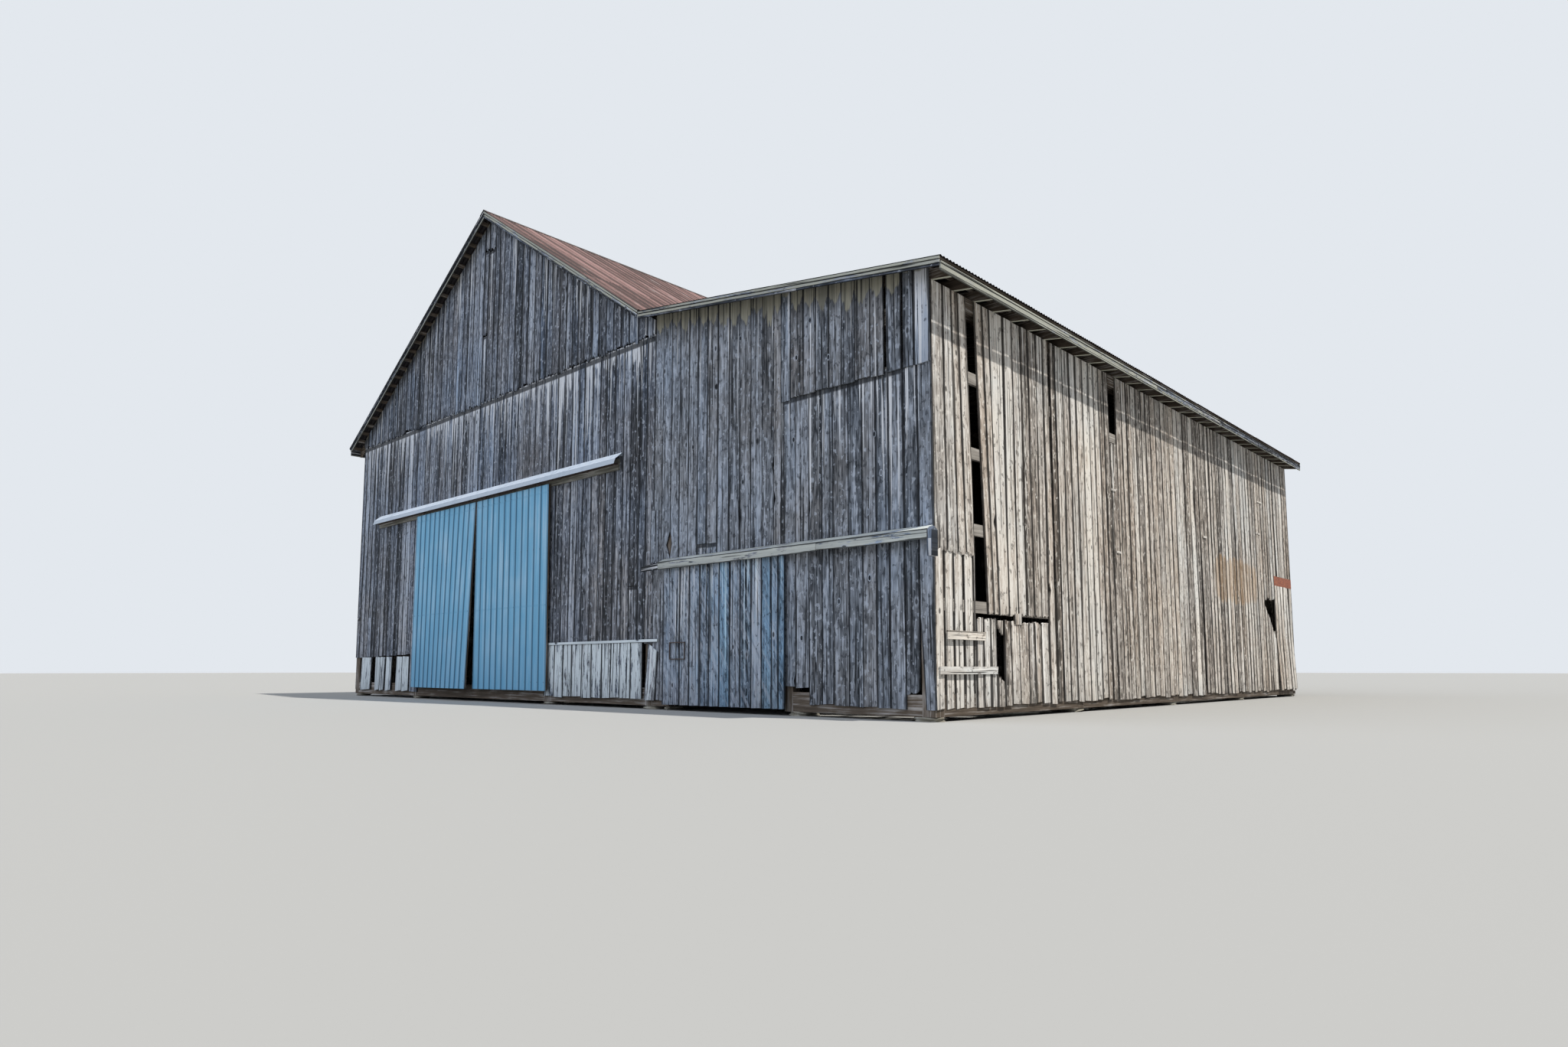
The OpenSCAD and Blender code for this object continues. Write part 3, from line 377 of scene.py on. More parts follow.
def frame_timber(name, wood, axis, paint=None, paint_from=None):
    """Rough sawn oak and pine, dark with age: matt, with saw marks and checks along the grain.
    The grain runs along X, Y or Z, or follows the face for a frame that turns a corner. Beyond a
    place along X, trim paint covers only the faces pointing down, so the pale undersides and dark
    sides are partly painted light and shade."""
    t = Look(name)
    place = t.place()
    at = [t.vectors("MULTIPLY", place, tuple(1.1 if a == b else 34 for b in "XYZ")) for a in axis]
    if len(at) == 2:
        turned = t.math("ABSOLUTE", t.facing()[0])
        at = [put(t.tree, "ShaderNodeMix", {0: turned, 4: at[0], 5: at[1]}, out=1,
                  data_type="VECTOR")]
    grain = t.noise(at[0], 1, 5, 0.65)
    base = t.tones(t.times(t.noise(place, 1.7, 3), 0.5, grain), (0.5, mix(wood, BLACK, 0.55)),
                   (0.78, wood), (0.98, mix(wood, WHITE, 0.3)))
    if paint:
        beyond = t.ramp(t.split(place)[0], paint_from - 0.01, paint_from + 0.01)
        # Trim paint only on faces pointing down: the pale undersides and dark sides stand partly for
        # light and shade
        base = t.blend(t.times(beyond, t.ramp(t.facing()[2], -0.3, -0.8)), base, paint)
    return t.finish(base, 0.85, grain, 0.003, specular=0.2)


def rusty_sheet(name, rust, dark, light, pitch):
    """Galvanised corrugated steel whose zinc is gone: matt red-brown rust, pale pink on the crests as
    a painted highlight, darker in the troughs as painted shade and in laps and under runs of water,
    with a few grey ghosts of zinc."""
    t = Look(name)
    place = t.label("board_place")
    tone, _, crest = t.split(t.label("board_kind"))
    head, foot, outer = t.split(t.label("board_run"))
    side = t.split(t.label("board_wear"))[0]
    runs_at = t.vectors("MULTIPLY", place, (7, 0.5, 1))
    spots = t.noise(place, 9, 5, 0.7)
    value = t.times(spots, 0.7, t.noise(runs_at, 1, 5))
    # Single troughs are too fine to show, so every fourth one is drawn darker and wider as painted
    # shade
    trough_shade = t.math("PINGPONG", t.split(t.place())[1], 2 * pitch)
    trough_shade = t.ramp(trough_shade, 0.2 * pitch, 1.8 * pitch, -0.5, 0.5)
    # Crests paler as a painted highlight and troughs darker as painted shade
    for part, share in ((tone, 0.3), (trough_shade, 0.5), (crest, 0.3)):
        value = t.times(part, share, value)
    base = t.tones(t.times(value, 0.6), (0.2, mix(dark, BLACK, 0.6)), (0.4, dark), (0.55, rust),
                   (0.68, mix(rust, light, 0.5)), (0.82, light))
    zinc = t.ramp(t.noise(runs_at, 2.3, 3), 0.64, 0.7, 0, 0.5)
    base = t.blend(zinc, base, linear("#9d9997"))
    base = t.blend(t.ramp(t.math("MINIMUM", head, foot), 0.04, 0.01, 0, 0.3), base, dark)
    # Dirt in the laps between the sheets, drawn 0.2 m wide because finer lines don't show
    base = t.blend(t.ramp(side, 0.13, 0.08, 0, 0.75), base, dark)
    # The lower layer, the sheets' underside, is painted near black: painted shade under the roof
    base = t.blend(outer, mix(dark, linear("#1a1a1d"), 0.85), base)
    return t.finish(base, 0.75, spots, 0.002, specular=0.35)


def painted_steel(name, paint, shade, streak, low, high, ribs=None):
    """Steel sheet in old factory paint: satin, chalked, with thin runs of dirt down it and more dirt
    towards its foot. Beside each rib it has a painted shadow line and a painted highlight, and
    without ribs its steep faces are darker as painted shade. The ribs are given by the first one's
    place, their spacing, and how far the leaf leans over its height."""
    t = Look(name)
    place = t.place()
    x, _, z = t.split(place)
    runs = t.noise(t.vectors("MULTIPLY", place, (14, 14, 0.5)), 1, 4, 0.6)
    patch = t.noise(place, 1.1, 4)
    base = t.tones(t.times(patch, 0.6, runs), (0.55, mix(paint, shade, 0.5)), (0.78, paint),
                   (1.0, streak))
    base = t.blend(t.ramp(z, high, low, 0, 0.55), base, shade)
    if ribs:
        first, step, lean = ribs
        at = t.math("ADD", x, t.times(z, -lean, -first))
        # A painted highlight beside each rib, and a painted shadow line on its other side
        lit = t.math("PINGPONG", t.math("ADD", at, 0.034), step / 2)
        base = t.blend(t.ramp(lit, 0.018, 0.010, 0, 0.5), base, streak)
        shaded = t.ramp(t.math("PINGPONG", at, step / 2), 0.024, 0.018, 0, 0.85)
        base = t.blend(shaded, base, mix(shade, BLACK, 0.5))
        # A darker line along the two middle rows of fasteners
        row = t.math("PINGPONG", t.math("ADD", z, -1.9), 1.1)
        base = t.blend(t.ramp(row, 0.03, 0.012, 0, 0.3), base, shade)
    else:
        # Faces steeper than the hood's top, such as its lip, are painted in shade
        base = t.blend(t.ramp(t.facing()[2], 0.5, 0.38, 0, 0.8), base, shade)
    return t.finish(base, 0.5, patch, 0.002, specular=0.4)


def rusted_iron(name, iron, rust):
    """Forged iron: near black where it is handled, with a skin of brown rust elsewhere."""
    t = Look(name)
    spots = t.noise(t.place(), 22, 5, 0.7)
    return t.finish(t.tones(spots, (0.4, iron), (0.62, rust)), 0.7, spots, 0.001, specular=0.4)


def field_stone(name, stone):
    """Sedimentary field stone: matt, pitted, grey with brown stains."""
    t = Look(name)
    spots = t.noise(t.place(), 6, 7, 0.7)
    base = t.tones(spots, (0.35, mix(stone, linear("#59503f"), 0.5)), (0.55, stone),
                   (0.7, mix(stone, WHITE, 0.25)))
    return t.finish(base, 0.9, spots, 0.01)


X, Y, Z = np.eye(3)


def face_at(x, y, z, across, along, out):
    """A face to lay boards on: its start, and its ways across the boards, along them and out."""
    return np.array([LEFT + x, FRONT + y, z]), across, along, out


FRONT_FACE = face_at(0, 0, 0, X, Z, -Y)
RIGHT_FACE = face_at(WIDTH, 0, 0, Y, Z, X)
BACK_FACE = face_at(WIDTH, DEPTH, 0, -X, Z, Y)
LEFT_FACE = face_at(0, DEPTH, 0, -Y, Z, -X)


def through(a, b):
    """The straight line through two points, as a function."""
    slope = (b[1] - a[1]) / (b[0] - a[0])
    return lambda x: a[1] + (x - a[0]) * slope


def slope_line(node):
    """A roof slab's two ends: place, and heights of the underside and the top."""
    points = np.array([v.co for v in NODES[node].data.vertices], float)
    points[:, 0] -= LEFT
    ends = points[:, 0].min(), points[:, 0].max()
    heights = [points[np.abs(points[:, 0] - x) < 1e-4][:, 2] for x in ends]
    return [(x, z.min(), z.max()) for x, z in zip(ends, heights)]


def under_lath(slope):
    """Height of the laths' underside along a slope, as a function."""
    (x0, z0, _), (x1, z1, _) = slope
    drop = LATH_T * math.hypot(x1 - x0, z1 - z0) / abs(x1 - x0)
    return through((x0, z0 - drop), (x1, z1 - drop))


SLOPES = [slope_line(node) for node in ("left_roof", "right_roof", "lean_to_roof")]
left_under, right_under, lean_top = [under_lath(slope) for slope in SLOPES]


def gable_top(x):
    """Height of the gable boards' upper ends."""
    return min(left_under(x), right_under(x))


def pair(value):
    """A value at both edges of a board, also where only one is given."""
    return value if isinstance(value, tuple) else (value, value)


def level(value):
    """A height along a wall as a function, also where it is one number."""
    return value if callable(value) else lambda u: value


def shell(rows, cols):
    """Faces of a slab whose front and back are grids of points."""
    n = rows * cols
    faces = []
    for k in range(rows - 1):
        for c in range(cols - 1):
            i = k * cols + c
            faces.append([i, i + 1, i + cols + 1, i + cols])
            faces.append([n + i, n + i + cols, n + i + cols + 1, n + i + 1])
        for i in (k * cols, k * cols + cols - 1):
            faces.append([i, i + cols, n + i + cols, n + i])
    for i in [*range(cols - 1), *range(n - cols, n - 1)]:
        faces.append([i, n + i, n + i + 1, i + 1])
    return faces


def prism(sides):
    """Faces of a prism between two rings of points."""
    ring = range(sides)
    walls = [[i, (i + 1) % sides, sides + (i + 1) % sides, sides + i] for i in ring]
    return [list(reversed(ring)), [sides + i for i in ring], *walls]


MATERIALS = {}


class Pile:
    """Gathers boards, sheets and stones into one mesh, with the values that its material reads."""

    def __init__(self, seed, face=None):
        self.rng = np.random.default_rng(seed)
        self.face = face
        self.verts, self.faces, self.data = [], [], []

    def add(self, points, faces, data):
        start = sum(len(v) for v in self.verts)
        self.verts.append(np.asarray(points, float))
        self.faces.extend([[start + i for i in f] for f in faces])
        self.data.append(np.asarray(data, float))

    def courses(self, stops, width, spread=0.16):
        """Edges of boards of uneven widths that fill the runs between the stops."""
        edges = [stops[0]]
        for start, end in zip(stops, stops[1:]):
            count = max(1, round((end - start) / width))
            shares = np.cumsum(1 + self.rng.uniform(-spread, spread, count))
            edges.extend(start + (end - start) * shares / shares[-1])
        return edges

    def board(self, low, high, foot, head, face=None, out=0.0, thick=BOARD_T, tone=None, hue=None,
              band=0.0, drip=0.0, paint=0.0, line=None, kick=0.0, warp=0.002, slant=(0.0, 0.0),
              torn=(0.0, 0.0), nicks=(), brown=0.0):
        """One board between two edges and two ends. Its head may lean or widen, its ends may be
        torn, its foot may kick out, and a nick takes (side, height, half length, depth)."""
        rng = self.rng
        start, over, up, away = face or self.face
        feet, heads = pair(foot), pair(head)
        foot = min(feet)
        tall = max(heads) - foot
        stations = set(np.linspace(0, 1, max(2, int(math.ceil(tall / 1.3)) + 1)))
        for at in [v + d for _, v, reach, _ in nicks for d in (-reach, 0, reach)]:
            if foot < at < foot + tall:
                stations.add((at - foot) / tall)
        for end, depth in zip((0, 1), torn):
            if depth:
                stations.add(abs(end - 1.4 * depth / tall))
        stations = sorted(stations)
        across = np.linspace(0, 1, 9 if max(torn) else 3)
        seed = rng.uniform(0, 50)
        tone = rng.normal(0, 0.6) if tone is None else tone
        hue = rng.normal(0, 0.5) if hue is None else hue
        line = rng.uniform(0.4, 1.1) if line is None else line
        cup = rng.uniform(-warp, warp)
        bow = rng.uniform(-warp, warp, len(stations))
        jags = rng.uniform(0, 1, (2, len(across)))
        front, back, data = [], [], []
        for k, share in enumerate(stations):
            height = tall * share
            bite = [sum(depth * max(0.0, 1 - abs(foot + height - v) / reach)
                        for where, v, reach, depth in nicks if where == side) for side in (0, 1)]
            a = low + slant[0] * share + bite[0]
            b = high + slant[1] * share - bite[1]
            proud = out + bow[k] + kick * max(0.0, 1 - height / 1.2) ** 2
            for c, part in enumerate(across):
                bottom = feet[0] + (feet[1] - feet[0]) * part
                top = heads[0] + (heads[1] - heads[0]) * part
                v = bottom + (top - bottom) * share
                if k == 0:
                    v += torn[0] * jags[0, c]
                if k == len(stations) - 1:
                    v -= torn[1] * jags[1, c]
                u = a + (b - a) * part
                at = start + over * u + up * v
                front.append(at + away * (proud + cup * (1 - (2 * part - 1) ** 2)))
                back.append(at + away * (proud - thick))
                cooler = hue - brown * min(1.0, max(0.0, (5.0 - v) / 2.6))
                data.append([u - (a + b) / 2, v, (b - a) / 2, tone, seed, cooler,
                             foot + tall - v, v - foot, band, drip, paint, line])
        self.add(front + back, shell(len(stations), len(across)), data + data)

    def wall(self, edges, bottom, top, gap=0.005, rough=0.012, bands=(0, 0), drips=(0, 0),
             wander=0.0, uneven=0.4, cuts=(), nicks=(), special=(), tones=(0.0, 0.6),
             lines=(0.4, 1.1), **more):
        """Boards side by side between the listed edges, from bottom to top. Gaps widen and narrow
        along their length. Cuts and nicks start with the place across the wall that picks their
        board, and so do the special boards, which take values of their own."""
        rng = self.rng
        bottom, top = level(bottom), level(top)
        spaces = gap * rng.lognormal(0, uneven, (len(edges), 2))
        leans = rng.uniform(-wander, wander, len(edges))
        leans[[0, -1]] = 0
        for k, (low, high) in enumerate(zip(edges[:-1], edges[1:])):
            a, b = low + spaces[k, 0] / 2, high - spaces[k + 1, 0] / 2
            foot = rng.uniform(0, rough)
            tilt = rng.uniform(-rough, rough) / 3
            values = {"band": rng.uniform(*bands), "drip": rng.uniform(*drips),
                      "tone": rng.normal(*tones), "line": rng.uniform(*lines), **more}
            values["slant"] = (leans[k] + (spaces[k, 1] - spaces[k, 0]) / 2,
                               leans[k + 1] - (spaces[k + 1, 1] - spaces[k + 1, 0]) / 2)
            for place, own in special:
                if low <= place < high:
                    values.update(own)
            here = [n[1:] for n in nicks if low <= n[0] < high]
            feet = (bottom(a) + foot, bottom(b) + foot + tilt)
            # A board cut short gets a band below zero: a painted shadow line under the foot of the
            # piece above
            for _, v in sorted(c for c in cuts if low <= c[0] < high):
                values["slant"] = (0.0, 0.0)
                self.board(a, b, feet, v - 0.004, nicks=here,
                           **{**values, "band": -0.012, "drip": 0.0})
                feet = v + 0.004
            self.board(a, b, feet, (top(a), top(b)), nicks=here, **values)

    def knots(self, places, out=0.003, wide=0.02):
        """Dark knots that stand proud of their boards, each in a pale ring."""
        start, over, up, away = self.face
        for u, v in places:
            seed = self.rng.uniform(0, 50)
            for across, rise, tone in ((wide * 1.5, 0.001, 0.9), (wide, 0.003, -4.0)):
                ring = [start + over * (u + across * math.cos(a))
                        + up * (v + 1.7 * across * math.sin(a)) for a in np.arange(10) * math.pi / 5]
                points = [p + away * (out + d) for d in (-0.01, rise) for p in ring]
                self.add(points, prism(10), [[0, v, 1, tone, seed, 0, 1, 1, 0, 0, 0, 0]] * 20)

    def finish(self, name, material, *nodes, body="barn", smooth=False):
        """Makes the piece, sets it on its body and lets it stand for its nodes."""
        mesh = bpy.data.meshes.new(name)
        mesh.from_pydata(np.concatenate(self.verts).tolist(), [], self.faces)
        data = np.concatenate(self.data)
        for k, label in enumerate(("board_place", "board_kind", "board_run", "board_wear")):
            layer = mesh.attributes.new(label, "FLOAT_VECTOR", "POINT")
            layer.data.foreach_set("vector", data[:, 3 * k:3 * k + 3].astype(np.float32).ravel())
        work = bmesh.new()
        work.from_mesh(mesh)
        bmesh.ops.recalc_face_normals(work, faces=work.faces)
        work.to_mesh(mesh)
        work.free()
        for p in mesh.polygons:
            p.use_smooth = smooth
        if smooth:
            mesh.set_sharp_from_angle(angle=math.radians(50))
        piece = bpy.data.objects.new(name, mesh)
        bpy.context.scene.collection.objects.link(piece)
        mesh.materials.append(MATERIALS[material])
        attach(piece, body)
        if nodes:
            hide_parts(*nodes)
        return piece


class Step:
    """What the operators share."""
    bl_options = {"REGISTER", "UNDO"}


class BARN_OT_materials(Step, bpy.types.Operator):
    """Makes the finishes"""
    bl_idname = "barn.materials"
    bl_label = "Finishes"

    def execute(self, context):
        s, f = context.scene.barn_sizes, context.scene.barn_finishes
        front = Wood(f.front_dark, f.front_mid, f.front_light, f.front_brown, f.sheltered)
        lean = front._replace(mid=mix(f.front_mid, f.sheltered, 0.15))
        stained = front._replace(mid=mix(f.front_mid, f.front_light, 0.5))
        side = Wood(f.side_dark, f.side_mid, f.side_light, f.side_brown,
                    mix(f.side_dark, f.sheltered, 0.5))
        bare = (LEFT + WIDTH, FRONT + 11.75, 2.6), (0.5, 1.55, 0.5)
        worn = mix(f.trim, f.skirt, 0.3)
        MATERIALS.update({
            # Shaded and sunlit copies of one wood: painted shade in the front's colours, painted
            # sunlight in the side's
            "front": weathered_boards("Silvered pine, shaded", front),
            "lean": weathered_boards("Silvered pine, low front", lean, tints=0.7, contrast=2.0),
            "side": weathered_boards("Silvered pine, sunlit", side, bare=bare, tints=0.55),
            "skirt": weathered_boards("Peeling white paint on pine", front, f.skirt),
            "trim": weathered_boards("Chalked paint on planed pine", front, f.trim),
            "cover": weathered_boards("Weathered paint on the track cover", front, worn),
            "stable": weathered_boards("Blue stained pine", stained, stain=f.stain_blue),
            "timber_x": frame_timber("Sawn timber along X", f.timber, "X"),
            "timber_y": frame_timber("Sawn timber along Y", f.timber, "Y"),
            "timber_z": frame_timber("Sawn timber upright", f.timber, "Z"),
            "timber_xy": frame_timber("Sawn timber round a corner", f.timber, "XY"),
            # The board under the hood is drawn dark: stains, with the shade under the hood painted in
            "track": frame_timber("Sheltered board under the hood",
                                  mix(f.front_dark, f.sheltered, 0.4), "X"),
            "girt": frame_timber("Sawn girts", mix(f.timber, f.side_light, 0.35), "XY"),
            # The tails' paint lies only on their undersides, partly painted light and shade
            "tails": frame_timber("Sawn rafters with painted tails", f.timber, "X", f.trim,
                                  LEFT + WIDTH),
            "roof": rusty_sheet("Rusted corrugated steel", f.rust, f.rust_dark, f.rust_light,
                                s.ridge_pitch),
            # The hood's darker colour is painted shade on its steep lip, and dirt in its patches
            "hood": painted_steel("Pale paint on bent steel", f.hood,
                                  mix(f.hood, linear("#6f8195"), 0.8), mix(f.hood, WHITE, 0.4),
                                  3.0, 4.0),
            "iron": rusted_iron("Forged iron", f.iron, f.rust_dark),
            "red_rust": rusted_iron("Rusted flashing", linear("#703f31"), linear("#a26145")),
            "stone": field_stone("Field stone", f.stone),
        })
        # The darker blue is dirt towards the foot of the leaves and painted shade beside their ribs
        for side, x0, lean in (("left", 3.43, 0.0), ("right", 6.27, -0.06)):
            first = LEFT + x0 + FIRST_RIB - lean * LEAF_TOP / LEAF_H
            MATERIALS["blue_" + side] = painted_steel(
                f"Blue paint on ribbed steel, {side} leaf", f.door_blue,
                mix(f.door_blue, linear("#306f9a"), 0.45), mix(f.door_blue, WHITE, 0.15),
                0.2, 2.4, (first, RIB_STEP, lean / LEAF_H))
        return {"FINISHED"}


# The nodes that keep their own shape, under the finish that each group takes
DRESSED = {
    "timber_x": "tie_beams door_headers knee_braces main_rafters stable_door_ledges",
    "timber_y": "roof_plates ridge_board roof_lath",
    "timber_z": "wall_posts aisle_posts left_door_frame right_door_frame",
    "timber_xy": "sill_beams",
    "track": "track_board",
    "girt": "wall_girts",
    "tails": "lean_to_rafters",
    "iron": "door_rail stable_door_rail left_door_hangers right_door_hangers "
            "stable_door_hangers stable_door_handle ridge_cap",
    "blue_left": "left_door_sheet",
    "blue_right": "right_door_sheet",
    "hood": "track_hood",
    "red_rust": "corner_flashing",
}


class BARN_OT_timber(Step, bpy.types.Operator):
    """Dresses the frame's timbers and the ironwork, and lays the stones"""
    bl_idname = "barn.timber"
    bl_label = "Frame and ironwork"

    def execute(self, context):
        for finish, names in DRESSED.items():
            for name in names.split():
                mesh = NODES[name].data
                mesh.materials.clear()
                mesh.materials.append(MATERIALS[finish])
        self.stones()
        return {"FINISHED"}

    def stones(self):
        """Flat stones in the places of the piers, rounded and uneven."""
        work = bmesh.new()
        work.from_mesh(NODES["stone_piers"].data)
        bmesh.ops.remove_doubles(work, verts=work.verts, dist=1e-5)
        seen, pile = set(), Pile(41)
        for start in work.verts:
            if start.index in seen:
                continue
            stack, group = [start], []
            while stack:
                v = stack.pop()
                if v.index in seen:
                    continue
                seen.add(v.index)
                group.append(v.co.copy())
                stack.extend(e.other_vert(v) for e in v.link_edges)
            self.stone(pile, np.array(group).min(0), np.array(group).max(0))
        work.free()
        pile.finish("field_stones", "stone", "stone_piers", smooth=True)

    def stone(self, pile, low, high):
        """One stone in a box: a cube with its sides pulled round and its faces made wavy."""
        grid = bmesh.new()
        bmesh.ops.create_cube(grid, size=2)
        bmesh.ops.subdivide_edges(grid, edges=grid.edges, cuts=4, use_grid_fill=True)
        grid.verts.ensure_lookup_table()
        wave = pile.rng.uniform(-1, 1, (3, 3))
        points = []
        for v in grid.verts:
            p = np.array(v.co)
            across = np.hypot(p[0], p[1])
            p[:2] *= 1 / max(1.0, across) ** 0.55
            p[:2] *= 1 - 0.1 * abs(p[2])
            p[:2] *= 1 - 0.09 * (1 + math.sin(3 * wave[0, 0] + 4 * p[0] * wave[0, 1]
                                              + 5 * p[1] * wave[1, 0] + 3 * p[2]))
            p[2] *= 1 - 0.12 * across * (1 + wave[2, 2]) / 2
            points.append((low + high) / 2 + p * (high - low) / 2)
        faces = [[v.index for v in f.verts] for f in grid.faces]
        grid.free()
        pile.add(points, faces, np.zeros((len(points), 12)))


class BARN_OT_front(Step, bpy.types.Operator):
    """Boards the front wall, its gable and the skirts along its foot"""
    bl_idname = "barn.front"
    bl_label = "Front wall"

    def execute(self, context):
        s = context.scene.barn_sizes
        w = s.board_w
        low = end_of("front_wall_left", "foot")
        seam = end_of("front_gable", "foot")
        seam_top = end_of("front_wall_left", "head")
        door_x0 = end_of("front_wall_over_doors", "left")
        door_x1 = end_of("front_wall_over_doors", "right")
        skirt_x = 3.13
        # Below the gable seam, a band below zero paints the shadow line that the proud gable boards
        # cast
        under = {"bands": (seam - seam_top, seam - seam_top), "drips": (0.0, 0.5),
                 "gap": s.board_gap, "wander": 0.004}
        # Left of the doors: the wall boards stop above the separate boards of the skirt
        pile = Pile(11, FRONT_FACE)
        edges = pile.courses((0, 1.81), w) + [2.0, 2.195, 2.42, 2.66, 2.9, skirt_x, door_x0]
        pile.wall(edges, lambda u: 0.96 + 0.016 * u if u < skirt_x else low, seam_top, rough=0.02,
                  brown=0.8, cuts=((0.05, 1.97),), lines=(0.8, 2.2), tones=(0.0, 0.8),
                  nicks=((1.7, 1, 1.5, 0.5, 0.02), (2.3, 0, 1.4, 0.45, 0.02)), **under)
        pile.board(0.72, 0.90, (0.985, 0.99), (1.97, 1.96), out=0.012, thick=0.012, tone=1.2,
                   hue=0.3)
        pile.finish("front_boards_left", "front", "front_wall_left")
        pile = Pile(12, FRONT_FACE)
        pile.wall(pile.courses((door_x0, door_x1), w), end_of("front_wall_over_doors", "foot"),
                  seam_top, rough=0.004, brown=0.3, **under)
        pile.finish("front_boards_over_doors", "front", "front_wall_over_doors")
        pile = Pile(13, FRONT_FACE)
        pile.wall(pile.courses((door_x1, BLOCK_W), w), lambda u: 1.1 if 8.99 < u < 12.2 else low,
                  seam_top, rough=0.03, brown=1.1, cuts=((11.6, 2.10),), tones=(-0.3, 0.5),
                  lines=(0.5, 1.3),
                  special=((9.2, {"drip": 1.0}), (9.7, {"drip": 1.1}), (10.3, {"drip": 0.9})),
                  **under)
        pile.finish("front_boards_middle", "front", "front_wall_middle")
        pile = Pile(14, FRONT_FACE)
        pile.wall(pile.courses((0, 5.69, 7.5, BLOCK_W), w), seam, gable_top, s.board_gap, 0.05,
                  wander=0.006, out=BOARD_T, bands=(0.03, 0.14), torn=(0.09, 0.0),
                  lines=(0.7, 2.2), cuts=((6.2, 9.9), (6.45, 9.85), (6.2, 7.95)),
                  special=((5.8, {"tone": 1.0}), (6.1, {"tone": 1.3, "hue": 0.8}),
                           (6.3, {"tone": 0.6, "hue": 0.6}), (7.6, {"tone": -1.0})),
                  nicks=((5.6, 1, 7.6, 0.4, 0.02), (7.4, 1, 8.2, 1.3, 0.014),
                         (10.3, 0, 7.0, 0.45, 0.03)))
        pile.finish("front_boards_gable", "front", "front_gable")
        self.lean_to(s)
        self.skirts()
        return {"FINISHED"}

    def lean_to(self, s):
        """The lean-to's front: one tier of boards under the roof and a lower one on the right."""
        low = end_of("front_wall_right", "foot")
        tier_x = end_of("front_wall_upper_right", "left")
        tier = end_of("front_wall_upper_right", "foot")
        tier_top = end_of("front_wall_right", "head")
        opening = end_of("door_headers", "foot")
        stable_x0, stable_x1 = 12.63, 15.252
        more = {"wander": 0.004, "gap": s.board_gap, "tones": (0.2, 0.5), "lines": (0.1, 1.0)}
        pile = Pile(15, FRONT_FACE)
        pile.wall(pile.courses((BLOCK_W, stable_x0), 0.215), low, lean_top, bands=(0.25, 0.4),
                  brown=0.5, nicks=((12.5, 1, 2.75, 0.22, 0.09),), **more)
        pile.board(12.13, 12.35, (2.45, 2.46), (3.36, 3.35), out=0.014, thick=0.014, tone=0.6,
                   torn=(0.05, 0))
        edges = [stable_x0, 12.86, 13.08, 13.31, 13.54, 13.79, 14.06, 14.302, 14.55, 14.79,
                 15.042, tier_x]
        pile.wall(edges, opening, lean_top, rough=0.004, bands=(0.28, 0.5),
                  cuts=((13.4, 2.67), (13.6, 2.66)),
                  nicks=((14.2, 1, 3.1, 0.27, 0.022), (14.4, 0, 3.0, 0.2, 0.02),
                         (14.9, 1, 3.72, 0.16, 0.03), (15.1, 0, 3.2, 0.13, 0.03),
                         (12.7, 0, 2.75, 0.22, 0.05)), **more)
        pile.knots(((14.31, 5.86), (14.38, 3.55), (14.69, 4.14), (13.2, 4.3), (13.75, 5.2)))
        pile.finish("front_boards_over_stable_door", "lean", "front_wall_over_stable_door")
        pile = Pile(16, FRONT_FACE)
        pile.wall([tier_x, stable_x1 + 0.012], opening, tier_top, s.board_gap)
        edges = [stable_x1, 15.48, 15.743, 15.988, 16.205, 16.473, 16.716, 16.952, 17.171, 17.417]
        # The band below zero paints the shadow line that the upper tier casts on these boards
        pile.wall(edges, lambda u: low + (0.24 if 15.2 < u < 15.744 else 0), tier_top, rough=0.05,
                  bands=(tier - tier_top, tier - tier_top),
                  special=((17.1, {"line": 1.0}), (17.3, {"line": 1.0}),
                           (15.3, {"tone": 0.5, "hue": 0.8})),
                  nicks=((15.3, 1, 0.5, 0.12, 0.03), (17.1, 1, 1.2, 0.9, 0.012)), **more)
        # The last two boards have split apart towards their feet
        pile.board(17.422, 17.646, (low + 0.16, low + 0.2), tier_top, line=1.0, torn=(0.06, 0),
                   nicks=((1, low, 1.2, 0.03),))
        pile.board(17.653, 17.868, low, tier_top, line=1.0, nicks=((0, low, 1.2, 0.07),))
        pile.knots(((16.94, 3.85), (15.45, 4.03), (16.82, 2.79), (16.84, 1.89), (15.6, 1.11),
                    (16.3, 1.6), (17.05, 3.3)))
        pile.finish("front_boards_right", "lean", "front_wall_right")
        pile = Pile(17, FRONT_FACE)
        pile.board(tier_x + 0.01, tier_x + 0.205, tier, (lean_top(tier_x), lean_top(tier_x + 0.2)),
                   out=0.012, thick=0.012, band=0.1, tone=0.5, hue=1.2, line=1.0)
        edges = [tier_x + 0.22, 15.66, 15.90, 16.15, 16.39, 16.63, 16.90, 17.13]
        pile.wall(edges, tier, lean_top, rough=0.03, torn=(0.012, 0), out=BOARD_T,
                  bands=(0.25, 0.45), **more)
        for a, b, own in ((17.175, 17.42, {"tone": -0.3, "band": 0.3}),
                          (17.45, 17.62, {"tone": -0.4, "band": 0.05}),
                          (17.635, 17.87, {"tone": 2.8, "band": 0.06, "drip": 1.0})):
            pile.board(a, b, (tier + 0.01, tier + 0.02), (lean_top(a), lean_top(b)), out=BOARD_T,
                       hue=0.6, line=0.9, **own)
        pile.knots(((16.15, 5.11), (15.53, 5.25), (15.8, 5.75)), BOARD_T + 0.003)
        pile.finish("front_boards_upper_right", "lean", "front_wall_upper_right")

